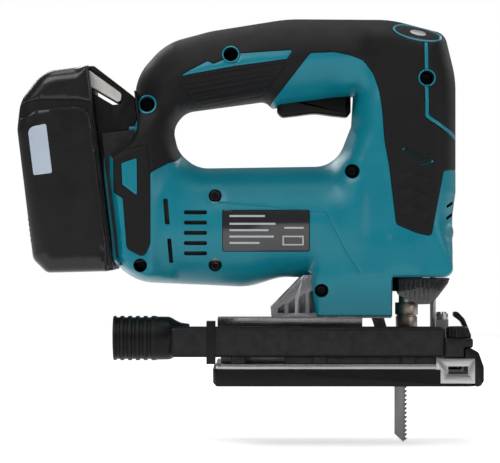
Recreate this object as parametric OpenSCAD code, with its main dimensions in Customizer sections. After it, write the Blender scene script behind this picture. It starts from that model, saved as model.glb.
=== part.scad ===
// Cordless D-handle jigsaw, real size, in millimetres.
// Origin: centre of the sole's underside. +X is the cutting direction, +Y the left side, +Z up.

/* [Housing] */
// Radius of the motor barrel
barrel_r = 33.5; // [33:0.5:35]
// Height of the motor axis above the sole
motor_z = 90.6; // [90:0.1:91.5]
// Half width of the gear head
head_half_w = 31; // [30:0.5:33]
// Half width of the handle bar
handle_half_w = 18.5; // [17.5:0.5:20]
// Half width of the battery flare
flare_half_w = 36; // [35.5:0.5:37.5]
// Wall thickness of the housing shell
wall = 3; // [2.8:0.1:3.1]
// Thickness of the soft grip
grip_t = 1.4; // [1:0.1:1.8]

/* [Drive] */
// Gear module
gear_module = 1; // [1:0.1:1]
// Teeth on the motor pinion
pinion_teeth = 10; // [10:1:10]
// Teeth on the drive gear
gear_teeth = 42; // [42:1:42]
// Crank radius, half of the blade stroke
crank_r = 13; // [10:0.5:13]
// Plunger axis, distance ahead of the origin
plunger_x = 35; // [34.5:0.5:35.5]
// Plunger rod radius
plunger_r = 4.5; // [4:0.1:5]

/* [Battery] */
// Tilt of the battery rails from upright
rail_tilt = 7; // [7:0.5:7]
// Half width of the battery case
battery_half_w = 37.5; // [36.5:0.5:38]
// Half width of the rail block on the battery
rail_half_w = 28.2; // [27:0.1:28.2]
// Cell radius
cell_r = 9; // [8.5:0.1:9.2]

/* [Base] */
// Length of the sole
sole_len = 152.8; // [150:0.2:156]
// Half width of the sole
sole_half_w = 38; // [37:0.5:39]
// Height of the black cover's side wall
cover_h = 9.4; // [9:0.1:9.4]
// Width of the blade slot
slot_w = 15; // [14:0.5:16]
// Inner radius of the hose cuff
cuff_bore_r = 10.5; // [9.5:0.1:10.8]

/* [Blade] */
// Blade thickness
blade_t = 1.2; // [1:0.1:1.5]
// Tooth pitch
tooth_pitch = 2.5; // [2.5:0.1:3]

/* [Hidden] */
$fn = 48;
teal = [0.03, 0.40, 0.46];
black = [0.05, 0.05, 0.05];
grey = [0.72, 0.72, 0.71];
steel = [0.60, 0.60, 0.60];
copper = [0.72, 0.40, 0.20];
soft = [0.10, 0.10, 0.10];
gap = 0.05;
fit = 0.04;
gear_z = motor_z + gear_module * (pinion_teeth + gear_teeth) / 2;

// Side outline of the housing, clockwise from the rear: x, z, corner radius.
body_pts = [[-122.5, 158, 0], [-120.5, 177.5, 34], [-104, 196, 34], [-78, 203, 60], [-34, 210, 90],
  [26, 209.6, 60], [57, 201.5, 8], [63.2, 176, 60], [63.2, 110, 0], [61.3, 96, 40], [61.3, 76, 0],
  [60.5, 61, 6], [50, 61, 10], [29, 61, 0], [29, 37.9, 1], [-18.3, 37.9, 2], [-23, 61, 0], [-38, 61.2, 30],
  [-56, 55.4, 40], [-119, 58.2, 28], [-133, 68, 14], [-134, 85, 0], [-138, 118, 0], [-138.4, 132, 6],
  [-124.5, 141, 9]];
// D-shaped hand opening
hand_pts = [[-99.9, 147, 14], [-92.5, 156, 12], [-46.5, 162.2, 6], [-42, 157.5, 4], [-38.5, 159.5, 0],
  [4, 165, 0], [3, 148, 0], [-6, 125, 34], [-86, 123.8, 22], [-96.8, 133, 16]];
// Area of the soft grip, in side view
grip_area = [[-150, 158, 0], [-150, 215, 0], [70, 215, 0], [70, 133, 0], [46, 92, 10], [30, 97, 10],
  [12, 130, 20], [16, 190, 20], [-8, 186, 10], [-12, 178, 0], [-30, 200, 10], [-60, 196, 10],
  [-84, 188, 10], [-92, 170, 10], [-95, 158, 0], [-84, 100, 8], [-94, 62, 6], [-106, 62, 6],
  [-122, 110, 10]];

// ---- outline helpers ----
function unit(v) = v / norm(v);
function flat(p) = [p[0], p[1]];
function cross2(a, b) = a[0] * b[1] - a[1] * b[0];
function area2(pts) = let (n = len(pts))
  [for (i = 0, s = 0; i <= n; s = s + (i < n ? cross2(pts[i], pts[(i + 1) % n]) : 0), i = i + 1) s][n];
// Corner points replaced by arcs of the stated radius, or of the largest one that fits
function rounded(pts, steps = 4) = let (n = len(pts)) [for (i = [0:n - 1])
  let (p = flat(pts[i]), va = flat(pts[(i + n - 1) % n]) - p, vb = flat(pts[(i + 1) % n]) - p,
    a = unit(va), b = unit(vb), half = acos(max(-1, min(1, a * b))) / 2,
    r = min(pts[i][2], 0.48 * min(norm(va), norm(vb)) * tan(half)))
  each (r <= 0 || half > 89.5 ? [p] : let (t = r / tan(half), c = p + unit(a + b) * r / sin(half),
    s = p + a * t - c, e = p + b * t - c, turn = (cross2(s, e) > 0 ? 1 : -1) * (180 - 2 * half))
    [for (k = [0:steps]) let (w = turn * k / steps)
      c + [s[0] * cos(w) - s[1] * sin(w), s[0] * sin(w) + s[1] * cos(w)]])];
// The same outline moved inwards by d (outwards when d is negative)
function inset(pts, d) = let (n = len(pts), turn = area2(pts) > 0 ? 1 : -1) [for (i = [0:n - 1])
  let (p = flat(pts[i]), a = unit(p - flat(pts[(i + n - 1) % n])), b = unit(flat(pts[(i + 1) % n]) - p),
    na = [-a[1], a[0]] * turn, nb = [-b[1], b[0]] * turn, q = p + (na + nb) / (1 + na * nb) * d,
    bend = cross2(a, b) * turn)
  [q[0], q[1], pts[i][2] > 0 ? max(0.3, pts[i][2] + (bend > 0 ? -d : d)) : 0]];
// Corner points without their radii
function sharp(pts) = [for (p = pts) flat(p)];

// Extrude a side-view (X-Z) shape from y0 to y1
module side(y0, y1) {
  translate([0, y1, 0]) rotate([90, 0, 0]) linear_extrude(y1 - y0) children();
}
// Extrude a front-view (Y-Z) shape from x0 to x1
module front(x0, x1) {
  translate([x0, 0, 0]) rotate([90, 0, 90]) linear_extrude(x1 - x0) children();
}
module box(lo, hi) {
  translate(lo) cube(hi - lo);
}
// Cylinders along the three axes, by their end positions
module rod_x(x0, x1, r, y = 0, z = 0) {
  translate([x0, y, z]) rotate([0, 90, 0]) cylinder(r = r, h = x1 - x0);
}
module rod_y(y0, y1, r, x = 0, z = 0) {
  translate([x, y1, z]) rotate([90, 0, 0]) cylinder(r = r, h = y1 - y0);
}
module rod_z(z0, z1, r, x = 0, y = 0) {
  translate([x, y, z0]) cylinder(r = r, h = z1 - z0);
}
// Rounded rectangle given by its corners
module slab(x0, y0, x1, y1, r) {
  polygon(rounded([[x0, y0, r], [x0, y1, r], [x1, y1, r], [x1, y0, r]]));
}

// ---- housing ----
// Outer shape of the housing, moved inwards by d
module outer(d) {
  head = [[-head_half_w, 60, 8], [-head_half_w, 160, 40], [-21, 211, 12], [21, 211, 12],
    [head_half_w, 160, 40], [head_half_w, 60, 8]];
  intersection() {
    difference() {
      side(-40, 40) polygon(rounded(inset(body_pts, d)));
      side(-41, 41) polygon(rounded(inset(hand_pts, -d)));
    }
    union() {
      rod_x(-112, 14, barrel_r - d, 0, motor_z);
      front(-126, 56 - d) polygon(rounded(inset([[-handle_half_w, 112, 4], [-handle_half_w, 212, 14],
        [handle_half_w, 212, 14], [handle_half_w, 112, 4]], d)));
      intersection() {
        front(-6, 64) polygon(rounded(inset(head, d)));
        translate([0, 0, 55]) linear_extrude(160)
          polygon(rounded(inset([[-12, -head_half_w, 8], [-12, head_half_w, 8], [63.3, head_half_w, 15],
            [63.3, -head_half_w, 15]], d)));
      }
      intersection() {
        front(-140, -95) polygon(rounded(inset([[-flare_half_w, 50, 12], [-flare_half_w, 176, 30],
          [flare_half_w, 176, 30], [flare_half_w, 50, 12]], d)));
        translate([0, 0, 50]) linear_extrude(110)
          polygon(sharp(inset([[-150, -flare_half_w, 0], [-150, flare_half_w, 0], [-112, flare_half_w, 0],
            [-92, 14, 0], [-92, -14, 0], [-112, -flare_half_w, 0]], d)));
      }
      translate([0, 0, 37]) linear_extrude(45)
        polygon(rounded(inset([[-22, -26, 5], [-22, 26, 5], [30, 26, 5], [30, -26, 5]], d)));
    }
  }
}

// Local frame of the battery rails: x away from the rails' root, z along the sliding direction
module on_rails() {
  translate([-133.5, 0, 81.2]) rotate([0, -rail_tilt, 0]) children();
}
channel_u = 23.1;
channel_w = -11;
// Space the battery slides in, with the tool's two rails left standing
module battery_channel() {
  difference() {
    on_rails() box([-60, -28.6, channel_w], [channel_u, 28.6, 150]);
    on_rails() for (s = [-1, 1]) {
      translate([0, s * 27.6, 0]) box([6.4, -1.3, channel_w - 1], [10.6, 1.3, 52]);
    }
  }
}

// Housing screws: x, z, y of the head's seat, y of the tip
long_screws = [[-113.9, 159.7, -11, 12], [-66.3, 187.9, -10, 12], [45.8, 174.8, -17, 18],
  [2.6, 120.5, -19, 19], [-117.4, 68.3, -22, 22], [-14.8, 53.9, -19.2, 19.2]];
screw_r = 2;
screw_head_r = 3.4;
module screw_shape(s, extra) {
  rod_y(s[2] - 2.6 - extra, s[2], screw_head_r + extra, s[0], s[1]);
  rod_y(s[2] - 0.5, s[3] + extra, screw_r + extra, s[0], s[1]);
}
module housing_screws() {
  color(black) for (s = long_screws) {
    difference() {
      screw_shape(s, 0);
      rod_y(s[2] - 3, s[2] - 1.2, 1.5, s[0], s[1]);
    }
  }
}
module screw_holes() {
  for (s = long_screws) {
    screw_shape(s, fit);
    rod_y(-45, s[2] - 2, screw_head_r + fit, s[0], s[1]);
  }
}

// Everything hollow inside the housing
module cavities() {
  rod_x(-96, 6, 30.2, 0, motor_z);
  rod_x(-104.6, -95, 15, 0, motor_z);
  box([9, -27.5, 64], [59.5, 27.5, 166]);
  box([-4, -22, 64], [12, 22, 118]);
  box([-14, -22.4, 30], [26, 22.4, 66]);
  difference() {
    box([-60, -20.4, 30], [-13, 20.4, 64]);
    rod_x(-70, 0, barrel_r, 0, motor_z);
  }
  side(-14, 14) polygon([[-94, 168], [-98, 180], [-86, 190], [-76, 196], [-34, 203], [26, 203], [50, 198],
    [56, 178], [56, 164], [9, 164], [8, 168], [-42, 165], [-60, 167]]);
  box([-111.5, -8, 112], [-104.5, 8, 176]);
  box([-111.5, -9, 84], [-104, 9, 114]);
}
module trigger_slot() {
  box([-40.3, -8.4, 150], [3.1, 8.4, 172]);
}
// Blind vertical slots at the rear and open air slots beside the motor, on both sides
module vents() {
  for (s = [-1, 1]) {
    side(min(s * 22, s * 40), max(s * 22, s * 40)) {
      polygon([[-104.6, 106], [-102, 106], [-100.6, 91.4], [-103.4, 91.4]]);
      polygon([[-102.3, 83.4], [-100, 83.4], [-98.9, 69.6], [-101.2, 69.6]]);
    }
    for (k = [0:4]) {
      box([-92.8, min(s * 24, s * 40), 73.9 + 5.8 * k], [-79.7, max(s * 24, s * 40), 76.2 + 5.8 * k]);
    }
  }
}
module shell() {
  difference() {
    outer(0);
    difference() {
      cavities();
      for (s = long_screws) {
        rod_y(-30, 30, 4.6, s[0], s[1]);
      }
    }
    battery_channel();
    screw_holes();
    trigger_slot();
    vents();
    terminal_space();
    rod_z(52, 66, 11, plunger_x, 0);
    rod_z(30, 53, 7.8, plunger_x, 0);
    for (s = [-1, 1]) {
      rod_z(55, 70, 1.3, guard_x, s * guard_y);
    }
    rod_x(55, 66, 4.05, 0, 86.8);
    rod_y(13, 45, 5.1, lock_x, lock_z);
    rod_y(20, 30, 3.05, orbit_x, orbit_z);
    badge_space();
    label_space();
  }
}
module half_right() {
  box([-150, -45, 20], [70, -gap, 220]);
}
module half_left() {
  box([-150, gap, 20], [70, 45, 220]);
}
module grip_zone() {
  side(-45, 45) polygon(rounded(grip_area));
}
module hard_shell() {
  difference() {
    shell();
    difference() {
      grip_zone();
      outer(grip_t);
    }
  }
}
module soft_skin() {
  difference() {
    intersection() {
      outer(0);
      grip_zone();
    }
    outer(grip_t - fit);
    battery_channel();
    screw_holes();
    trigger_slot();
    vents();
    badge_space();
    rod_x(55, 66, 4.05, 0, 86.8);
    rod_y(13, 45, 5.1, lock_x, lock_z);
  }
}
module housing_right() {
  color(teal) intersection() {
    hard_shell();
    half_right();
  }
}
module housing_left() {
  color(teal) intersection() {
    hard_shell();
    half_left();
  }
}
module grip_right() {
  color(soft) intersection() {
    soft_skin();
    half_right();
  }
}
module grip_left() {
  color(soft) intersection() {
    soft_skin();
    half_left();
  }
}

// Badge on the sloping top of the head, and the rating plate on the right side
module on_badge() {
  translate([40.5, 0, 204.2]) rotate([0, 12, 0]) children();
}
module oval(h, a, b) {
  linear_extrude(h) slab(-a, -b, a, b, b - 0.1);
}
module badge_space() {
  on_badge() translate([0, 0, -2]) oval(20, 15, 10);
}
module badge_plate() {
  color(teal) difference() {
    on_badge() translate([0, 0, -1.96]) oval(3.4, 14.9, 9.9);
    on_badge() translate([0, 0, 0.2]) oval(3, 12.4, 7.4);
  }
}
module badge_emblem() {
  color(grey) on_badge() translate([0, 0, 0.24]) oval(1, 11, 6);
}
plate_r = barrel_r - 0.8;
module label_area(r0, r1) {
  intersection() {
    side(-45, -20) slab(-71.2 - r0, 76 - r0, -21.5 + r0, 99.7 + r0, 4);
    difference() {
      rod_x(-80, -10, r1, 0, motor_z);
      rod_x(-81, -9, plate_r, 0, motor_z);
    }
  }
}
module label_space() {
  label_area(fit, 60);
}
module rating_plate() {
  color(black) translate([0, -fit, 0]) label_area(0, barrel_r - 0.1);
}

// ---- gear case: foot, tail, bearing plate and the two arms that hold the plunger bushes ----
plate_x0 = 9.3;
plate_x1 = 13;
bush_r = 7;
pivot_x = 17;
pivot_z = 45;
module gear_case() {
  tail = [[-13.8, 38.1], [-43, 38.1], [-43.4, 43.5], [-25, 62.5], [-13.8, 62.5]];
  color(grey) difference() {
    union() {
      box([-13.9, -22, 38.1], [25, 22, 60]);
      difference() {
        side(-20, 20) polygon(tail);
        for (k = [0:3]) {
          for (s = [-1, 1]) {
            side(min(s * 12.5, s * 21), max(s * 12.5, s * 21))
              polygon([[-39.5 + 6 * k, 41], [-35.7 + 6 * k, 41], [-35.7 + 6 * k, 46.5 + 3 * k],
                [-39.5 + 6 * k, 43.5 + 3 * k]]);
          }
        }
        box([-39, -9, 41], [-13, 9, 54]);
      }
      box([plate_x0, -21, 59], [plate_x1, 21, 160]);
      rod_x(3.5, plate_x1, 12, 0, motor_z);
      box([plate_x0, -11, 146], [43, 11, 155]);
      box([plate_x0, -12, 67], [53.5, 12, 75]);
      rod_x(plate_x0, plate_x1 + 1, 6, 0, gear_z);
    }
    rod_x(-60, 8.9, barrel_r + 0.3, 0, motor_z);
    difference() {
      box([-10.5, -18.5, 42], [21.5, 18.5, 56]);
      rod_y(-20, 20, 5.2, pivot_x, pivot_z);
    }
    box([10, -5, 30], [30, 5, 55]);
    rod_x(0, 20, 9.04, 0, motor_z);
    rod_x(0, 30, 3.04, 0, gear_z);
    rod_z(140, 160, bush_r + fit, plunger_x, 0);
    rod_z(60, 80, bush_r + fit, plunger_x, 0);
    for (s = [-1, 1]) {
      rod_z(60, 71.04, 1.14, guard_x, s * guard_y);
    }
    for (s = [[-14.8, 53.9], [2.6, 120.5]]) {
      rod_y(-30, 30, 4.7, s[0], s[1]);
    }
    for (x = [-6, 4]) {
      rod_z(30, 43, 2.5, x, 0);
    }
  }
  color(grey) rod_y(-6, 6, 2, pivot_x, pivot_z);
}
module gear_axle() {
  color(steel) {
    rod_x(plate_x0, 22.2, 3, 0, gear_z);
    rod_x(21.7, 22.9, 4.6, 0, gear_z);
  }
}
module plunger_bushes() {
  color([0.78, 0.60, 0.30]) for (z = [[66.9, 76], [145, 156]]) {
    difference() {
      rod_z(z[0], z[1], bush_r, plunger_x, 0);
      rod_z(z[0] - 1, z[1] + 1, plunger_r + fit, plunger_x, 0);
    }
  }
}

// ---- motor ----
module motor_stator() {
  color(steel) difference() {
    rod_x(-92, -50, 30.1, 0, motor_z);
    rod_x(-93, -49, 22.5, 0, motor_z);
    for (k = [0:5]) {
      translate([0, 0, motor_z]) rotate([60 * k, 0, 0]) rod_x(-93, -49, 1.6, 0, 31);
    }
  }
}
module stator_coils() {
  color(copper) for (x = [[-95.8, -92.1], [-49.9, -45.5]]) {
    difference() {
      rod_x(x[0], x[1], 29, 0, motor_z);
      rod_x(x[0] - 1, x[1] + 1, 23, 0, motor_z);
      for (k = [0:5]) {
        translate([0, 0, motor_z]) rotate([60 * k + 30, 0, 0]) box([x[0] - 1, -2, 22], [x[1] + 1, 2, 26.5]);
      }
    }
  }
}
// Ball bearing on the motor shaft from x0 to x1: two rings with a grease shield groove
module bearing(x0, x1, r0, r1) {
  difference() {
    rod_x(x0, x1, r1, 0, motor_z);
    rod_x(x0 - 1, x1 + 1, r0, 0, motor_z);
    for (x = [x0, x1]) {
      difference() {
        rod_x(x - 0.5, x + 0.5, r1 - 1.4, 0, motor_z);
        rod_x(x - 1, x + 1, r0 + 1.4, 0, motor_z);
      }
    }
  }
}
module motor_bearings() {
  color(steel) {
    bearing(4.2, 12.2, 3.9 + fit, 9);
    bearing(-104.4, -97.4, 3.9 + fit, 14.9);
  }
}
function involute(r, t) = r * [cos(t) + t * PI / 180 * sin(t), sin(t) - t * PI / 180 * cos(t)];
// Involute spur gear outline with n teeth; thin is taken off each flank
module gear_2d(n, thin) {
  press = 25;
  pitch_r = gear_module * n / 2;
  base_r = pitch_r * cos(press);
  top_r = pitch_r + 0.8 * gear_module;
  root_r = pitch_r - 1.05 * gear_module;
  start_r = max(base_r, root_r);
  half = 90 / n + (tan(press) * 180 / PI - press) - thin / pitch_r * 180 / PI;
  flank = [for (k = [0:5]) let (r = start_r + (top_r - start_r) * k / 5,
    t = sqrt(max(0, pow(r / base_r, 2) - 1)) * 180 / PI, p = involute(base_r, t), a = atan2(p[1], p[0]) - half)
    norm(p) * [cos(a), sin(a)]];
  polygon([for (i = [0:n - 1]) let (w = 360 * i / n)
    each [for (p = concat([root_r * [cos(-half), sin(-half)]], flank,
      [for (k = [5:-1:0]) [flank[k][0], -flank[k][1]]], [root_r * [cos(half), sin(half)]]))
      [p[0] * cos(w) - p[1] * sin(w), p[0] * sin(w) + p[1] * cos(w)]]]);
}
module motor_shaft() {
  color(steel) {
    rod_x(-104.2, 14, 3.9, 0, motor_z);
    translate([0, 0, motor_z]) front(13, 22.6) rotate(90) gear_2d(pinion_teeth, 0.03);
  }
}
module rotor_core() {
  color([0.35, 0.35, 0.36]) difference() {
    rod_x(-90, -52, 21.6, 0, motor_z);
    rod_x(-91, -51, 3.9 + fit, 0, motor_z);
    for (k = [0:11]) {
      translate([0, 0, motor_z]) rotate([30 * k, 0, 0]) box([-91, -1.4, 14], [-51, 1.4, 23]);
    }
  }
}
module cooling_fan() {
  color(black) difference() {
    union() {
      rod_x(-42, -40, 27, 0, motor_z);
      rod_x(-42, -31, 8, 0, motor_z);
      for (k = [0:11]) {
        translate([0, 0, motor_z]) rotate([30 * k + 8, 0, 0]) box([-41, -0.7, 6.2], [-31.6, 0.7, 26]);
      }
    }
    rod_x(-43, -30, 3.9 + fit, 0, motor_z);
  }
}

// ---- drive gear, crank and plunger ----
module drive_gear() {
  color(steel) difference() {
    union() {
      translate([0, 0, gear_z]) front(14.6, 21) rotate(gear_phase) gear_2d(gear_teeth, 0.03);
      rod_x(14.2, 21.6, 7, 0, gear_z);
      rod_x(20, 24, 3.5, crank_r, gear_z);
    }
    rod_x(10, 30, 3 + fit, 0, gear_z);
    for (k = [0:4]) {
      translate([0, 0, gear_z]) rotate([72 * k + 36, 0, 0]) rod_x(10, 30, 3.4, 13, 0);
    }
  }
}
gear_phase = 180 / gear_teeth - 90;
module yoke() {
  color(steel) difference() {
    union() {
      box([24.6, -21, gear_z - 8], [29, 21, gear_z + 8]);
      box([27, -8, gear_z - 8], [42, 8, gear_z + 8]);
    }
    box([24, -17.2, gear_z - 3.9], [27.4, 17.2, gear_z + 3.9]);
    rod_z(gear_z - 10, gear_z + 10, plunger_r + fit, plunger_x, 0);
    rod_y(-9, 9, 1.5, 39.5, gear_z);
  }
}
module plunger_rod() {
  color([0.8, 0.8, 0.8]) difference() {
    rod_z(40.6, 164, plunger_r, plunger_x, 0);
    rod_z(150, 165, 2.2, plunger_x, 0);
  }
}
module blade_holder() {
  color(steel) difference() {
    union() {
      rod_z(25.6, 31.4, 5.4, plunger_x, 0);
      rod_z(31.4, 38.4, 6.2, plunger_x, 0);
      rod_z(38.4, 39.4, 5.7, plunger_x, 0);
      rod_z(39.4, 46.4, 6.6, plunger_x, 0);
    }
    rod_z(40.56, 47, plunger_r + fit, plunger_x, 0);
    box([31.2, -0.68, 25], [38.8, 0.68, 38.2]);
  }
}
module blade() {
  rear = 28;
  front_x = 35.6;
  teeth = [for (k = [0:19]) each [[front_x, -32 + tooth_pitch * k], [front_x - 1.7, -31.4 + tooth_pitch * k]]];
  color(steel) side(-blade_t / 2, blade_t / 2)
    polygon(concat([[rear, -29.4], [33, -34]], teeth, [[front_x - 1, 19], [35.6, 22], [36, 24.8], [38.6, 25.6],
      [38.6, 29], [36.8, 30], [36.8, 37.9], [33.2, 37.9], [33.2, 30], [31.4, 29], [31.4, 25.6], [rear, 22]]));
}
module tool_opener() {
  color(black) difference() {
    union() {
      rod_z(53, 61.2, 9.3, plunger_x, 0);
      rod_z(61, 64.4, 10.9, plunger_x, 0);
      rod_z(64.2, 66, 13, plunger_x, 0);
      box([40, -3, 53], [47.6, 3, 58]);
      for (k = [-1:1]) {
        box([47, -0.4 + k * 2, 53], [48.2, 0.4 + k * 2, 58]);
      }
    }
    rod_z(50, 70, 7.4, plunger_x, 0);
  }
}
guard_x = 50.3;
guard_y = 8;
module wire_guard() {
  color(steel) {
    for (s = [-1, 1]) {
      rod_z(29, 71, 1.1, guard_x, s * guard_y);
      translate([guard_x, s * guard_y, 29]) sphere(r = 1.1);
    }
    rod_y(-guard_y, guard_y, 1.1, guard_x, 29);
  }
}
module dust_cover() {
  outline = [[29.8, 60.6, 0], [29.8, 51, 3], [41, 45.5, 3], [48.6, 45.8, 3], [52.4, 50, 2], [58, 57.4, 2],
    [59.2, 60.6, 0]];
  color([0.2, 0.2, 0.2, 0.6]) difference() {
    union() {
      difference() {
        side(-11.4, 11.4) polygon(rounded(outline));
        side(-9.8, 9.8) polygon([[20, 30], [46.5, 30], [46.5, 46.5], [50.6, 50.4], [56.2, 57.8], [57.2, 62],
          [20, 62]]);
      }
      for (s = [-1, 1]) {
        box([guard_x - 2.2, min(s * 6.2, s * 10.2), 52], [guard_x + 2.2, max(s * 6.2, s * 10.2), 57]);
      }
    }
    for (s = [-1, 1]) {
      rod_z(40, 62, 1.16, guard_x, s * guard_y);
    }
  }
}

// ---- blade roller and orbit lever ----
roller_x = 22.6;
roller_z = 20.5;
module roller_arm() {
  color(grey) difference() {
    side(-3.9, 3.9) polygon(rounded([[13.4, 42, 3], [13.4, 49, 3], [20.4, 49, 3], [20.6, 42, 6], [25.6, 25, 3],
      [25.4, 17, 2.2], [20.2, 17, 2.2], [18.6, 26, 6]]));
    rod_y(-5, 5, 2.06, pivot_x, pivot_z);
    rod_y(-5, 5, 1.54, roller_x, roller_z);
    rod_y(-2.3, 2.3, 5.6, roller_x, roller_z);
  }
}
module roller_pin() {
  color(steel) rod_y(-3.9, 3.9, 1.5, roller_x, roller_z);
}
module roller() {
  color(steel) difference() {
    rod_y(-2.1, 2.1, 5, roller_x, roller_z);
    rod_y(-3, 3, 1.56, roller_x, roller_z);
    difference() {
      rod_y(-0.75, 0.75, 6, roller_x, roller_z);
      rod_y(-1, 1, 4.2, roller_x, roller_z);
    }
  }
}
orbit_x = 0;
orbit_z = 50;
module orbit_lever() {
  color(black) {
    rod_y(22.5, 27, 3, orbit_x, orbit_z);
    rod_y(26.2, 29, 9.5, orbit_x, orbit_z);
    side(28.5, 33) polygon(rounded([[-2.6, 43, 1.5], [-2, 60, 1.5], [2, 60, 1.5], [2.6, 43, 1.5]]));
  }
}

// ---- switch, trigger, lock button, electronics ----
module switch_body() {
  color([0.2, 0.2, 0.2]) difference() {
    box([-36, -8.4, 178.2], [-5, 8.4, 194]);
    box([-30, -5, 177], [-12, 5, 184]);
    for (x = [-33, -8]) {
      rod_y(-9, 9, 1.2, x, 190);
    }
  }
}
module trigger() {
  color(black) difference() {
    union() {
      side(-8, 8) polygon(rounded([[-39.8, 162, 1], [-39.8, 156, 3], [-37, 153, 3], [-18.6, 154.6, 30],
        [0.6, 153, 2], [2.6, 156, 2], [2.6, 166, 1], [-18, 165, 0]]));
      box([-28, -4, 160], [-14, 4, 177.6]);
    }
    side(-6, 6) polygon([[-36, 163.2], [-36, 159.4], [-19, 158.8], [-1, 159.4], [-1, 166.4], [-12.5, 166.4],
      [-12.5, 160.6], [-29.6, 160.6], [-29.6, 166]]);
  }
}
lock_x = -14;
lock_z = 187;
module lock_button() {
  color(black) {
    rod_y(12, 20.5, 5, lock_x, lock_z);
    rod_y(12, 13.6, 6.4, lock_x, lock_z);
  }
}
module controller() {
  color([0.1, 0.35, 0.2]) box([10, -12, 181], [46, 12, 182.6]);
  color(black) {
    box([13, -8, 182.6], [25, 8, 190]);
    for (k = [0:2]) {
      rod_z(182.6, 191, 3.2, 30 + 7 * k, 0);
    }
  }
}
module lamp_lens() {
  color([0.9, 0.9, 0.8, 0.6]) rod_x(58.6, 61.6, 4, 0, 86.8);
}
contact_y = 10;
module terminal_space() {
  on_rails() box([22, -15.2, 9.8], [28.2, 15.2, 40.2]);
}
module terminal_block() {
  color(black) on_rails() difference() {
    box([23.2, -15, 10], [28, 15, 40]);
    for (s = [-1, 1]) {
      box([20, s * contact_y - 0.44, 17.9], [27, s * contact_y + 0.44, 34.1]);
    }
  }
}
module contact_blades() {
  color(copper) on_rails() for (s = [-1, 1]) {
    box([14.5, s * contact_y - 0.4, 18], [26.9, s * contact_y + 0.4, 34]);
  }
}

// ---- battery pack, drawn in the frame of the rails ----
case_pts = [[-1, -15.6, 0], [-5.1, -15.9, 2], [-38.8, -12.6, 5], [-45.6, -4, 6], [-45.6, 70, 14],
  [-41.8, 86, 20], [-27, 100.8, 14], [-1, 101, 0]];
rail_block = [[-0.9, -10.4, 0], [22.4, -10.4, 2], [22.4, 80.5, 2], [2, 100.6, 2], [-0.9, 101, 0]];
button_pts = [[-2.8, 100.2, 1.5], [15.4, 83, 1.5], [14, 77.8, 1], [-6.6, 93.8, 1.5]];
button_travel = 4;
// Rounded envelope of the battery case, moved inwards by d
module case_shape(d) {
  intersection() {
    side(-battery_half_w + d, battery_half_w - d) polygon(rounded(inset(case_pts, d)));
    front(-60, 5) slab(-battery_half_w + d, -20, battery_half_w - d, 110, 7);
    translate([0, 0, -20]) linear_extrude(130) polygon(rounded([[-45.6 + d, -battery_half_w + d, 8],
      [-45.6 + d, battery_half_w - d, 8], [5, battery_half_w - d, 0], [5, -battery_half_w + d, 0]]));
  }
}
module button_room() {
  difference() {
    side(-29.2, 29.2) polygon(sharp(inset([[-2.8 - button_travel, 100.2, 0], [-2.8, 100.2, 0], [15.4, 83, 0],
      [14, 77.8, 0], [14 - button_travel, 77.8, 0], [-6.6 - button_travel, 93.8, 0]], -0.4)));
    box([-20, -14, 70], [30, 14, 77]);
  }
}
module battery_case() {
  color(black) on_rails() difference() {
    case_shape(0);
    box([-43.2, -34.6, -10.6], [-3.2, 34.6, 72]);
    side(-34.6, 34.6) polygon([[-43.2, 71], [-40, 84], [-30, 91.4], [-3.2, 91.4], [-3.2, 71]]);
    box([-5, -24, -6], [5, 24, 74]);
    button_room();
    for (s = [-1, 1]) {
      for (k = [0:4]) {
        box([-47, min(s * 22, s * 29), 6 + 3 * k], [-44.8, max(s * 22, s * 29), 7.4 + 3 * k]);
      }
    }
  }
}
module battery_rails() {
  color(black) on_rails() difference() {
    side(-rail_half_w, rail_half_w) polygon(rounded(rail_block));
    for (s = [-1, 1]) {
      box([6.1, min(s * 26, s * 30), -12], [10.9, max(s * 26, s * 30), 54]);
      box([12.5, s * contact_y - 1.7, -12], [24, s * contact_y + 1.7, 37]);
      box([-2, min(s * 7.6, s * 24), -7], [10.6, max(s * 7.6, s * 24), 72]);
    }
    box([-2, -7.6, -7], [19.8, 7.6, 72]);
    button_room();
  }
}
module battery_cells() {
  color([0.1, 0.35, 0.6]) on_rails() for (i = [0:1]) {
    for (k = [0:4]) {
      rod_y(-32.5, 32.5, cell_r, -32.6 + 19.4 * i, -1 + 18.6 * k);
    }
  }
}
module cell_straps() {
  color(steel) on_rails() for (s = [-1, 1]) {
    for (k = [0:1]) {
      box([-38, min(s * 32.6, s * 32.9), 14 + 37.2 * k], [-8, max(s * 32.6, s * 32.9), 23 + 37.2 * k]);
    }
  }
}
module battery_board() {
  color([0.1, 0.35, 0.2]) on_rails() {
    box([0.4, -23, -5], [2, 23, 70]);
    box([2, -6, 20], [5, 6, 40]);
  }
}
module battery_contacts() {
  color(copper) on_rails() for (s = [-1, 1]) {
    for (t = [-1, 1]) {
      box([12.6, s * contact_y + t * 1.2 - 0.25, 19], [20, s * contact_y + t * 1.2 + 0.25, 33]);
    }
  }
}
module battery_label() {
  color(grey) on_rails() side(-battery_half_w - 0.3, -battery_half_w - 0.04)
    slab(-36, 8, -12, 66, 4);
}
module battery_button() {
  color([0.72, 0.71, 0.68]) on_rails() difference() {
    side(-28.8, 28.8) polygon(rounded(button_pts));
    side(-26, 26) polygon(sharp(inset(button_pts, 1.6)));
  }
}

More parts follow.
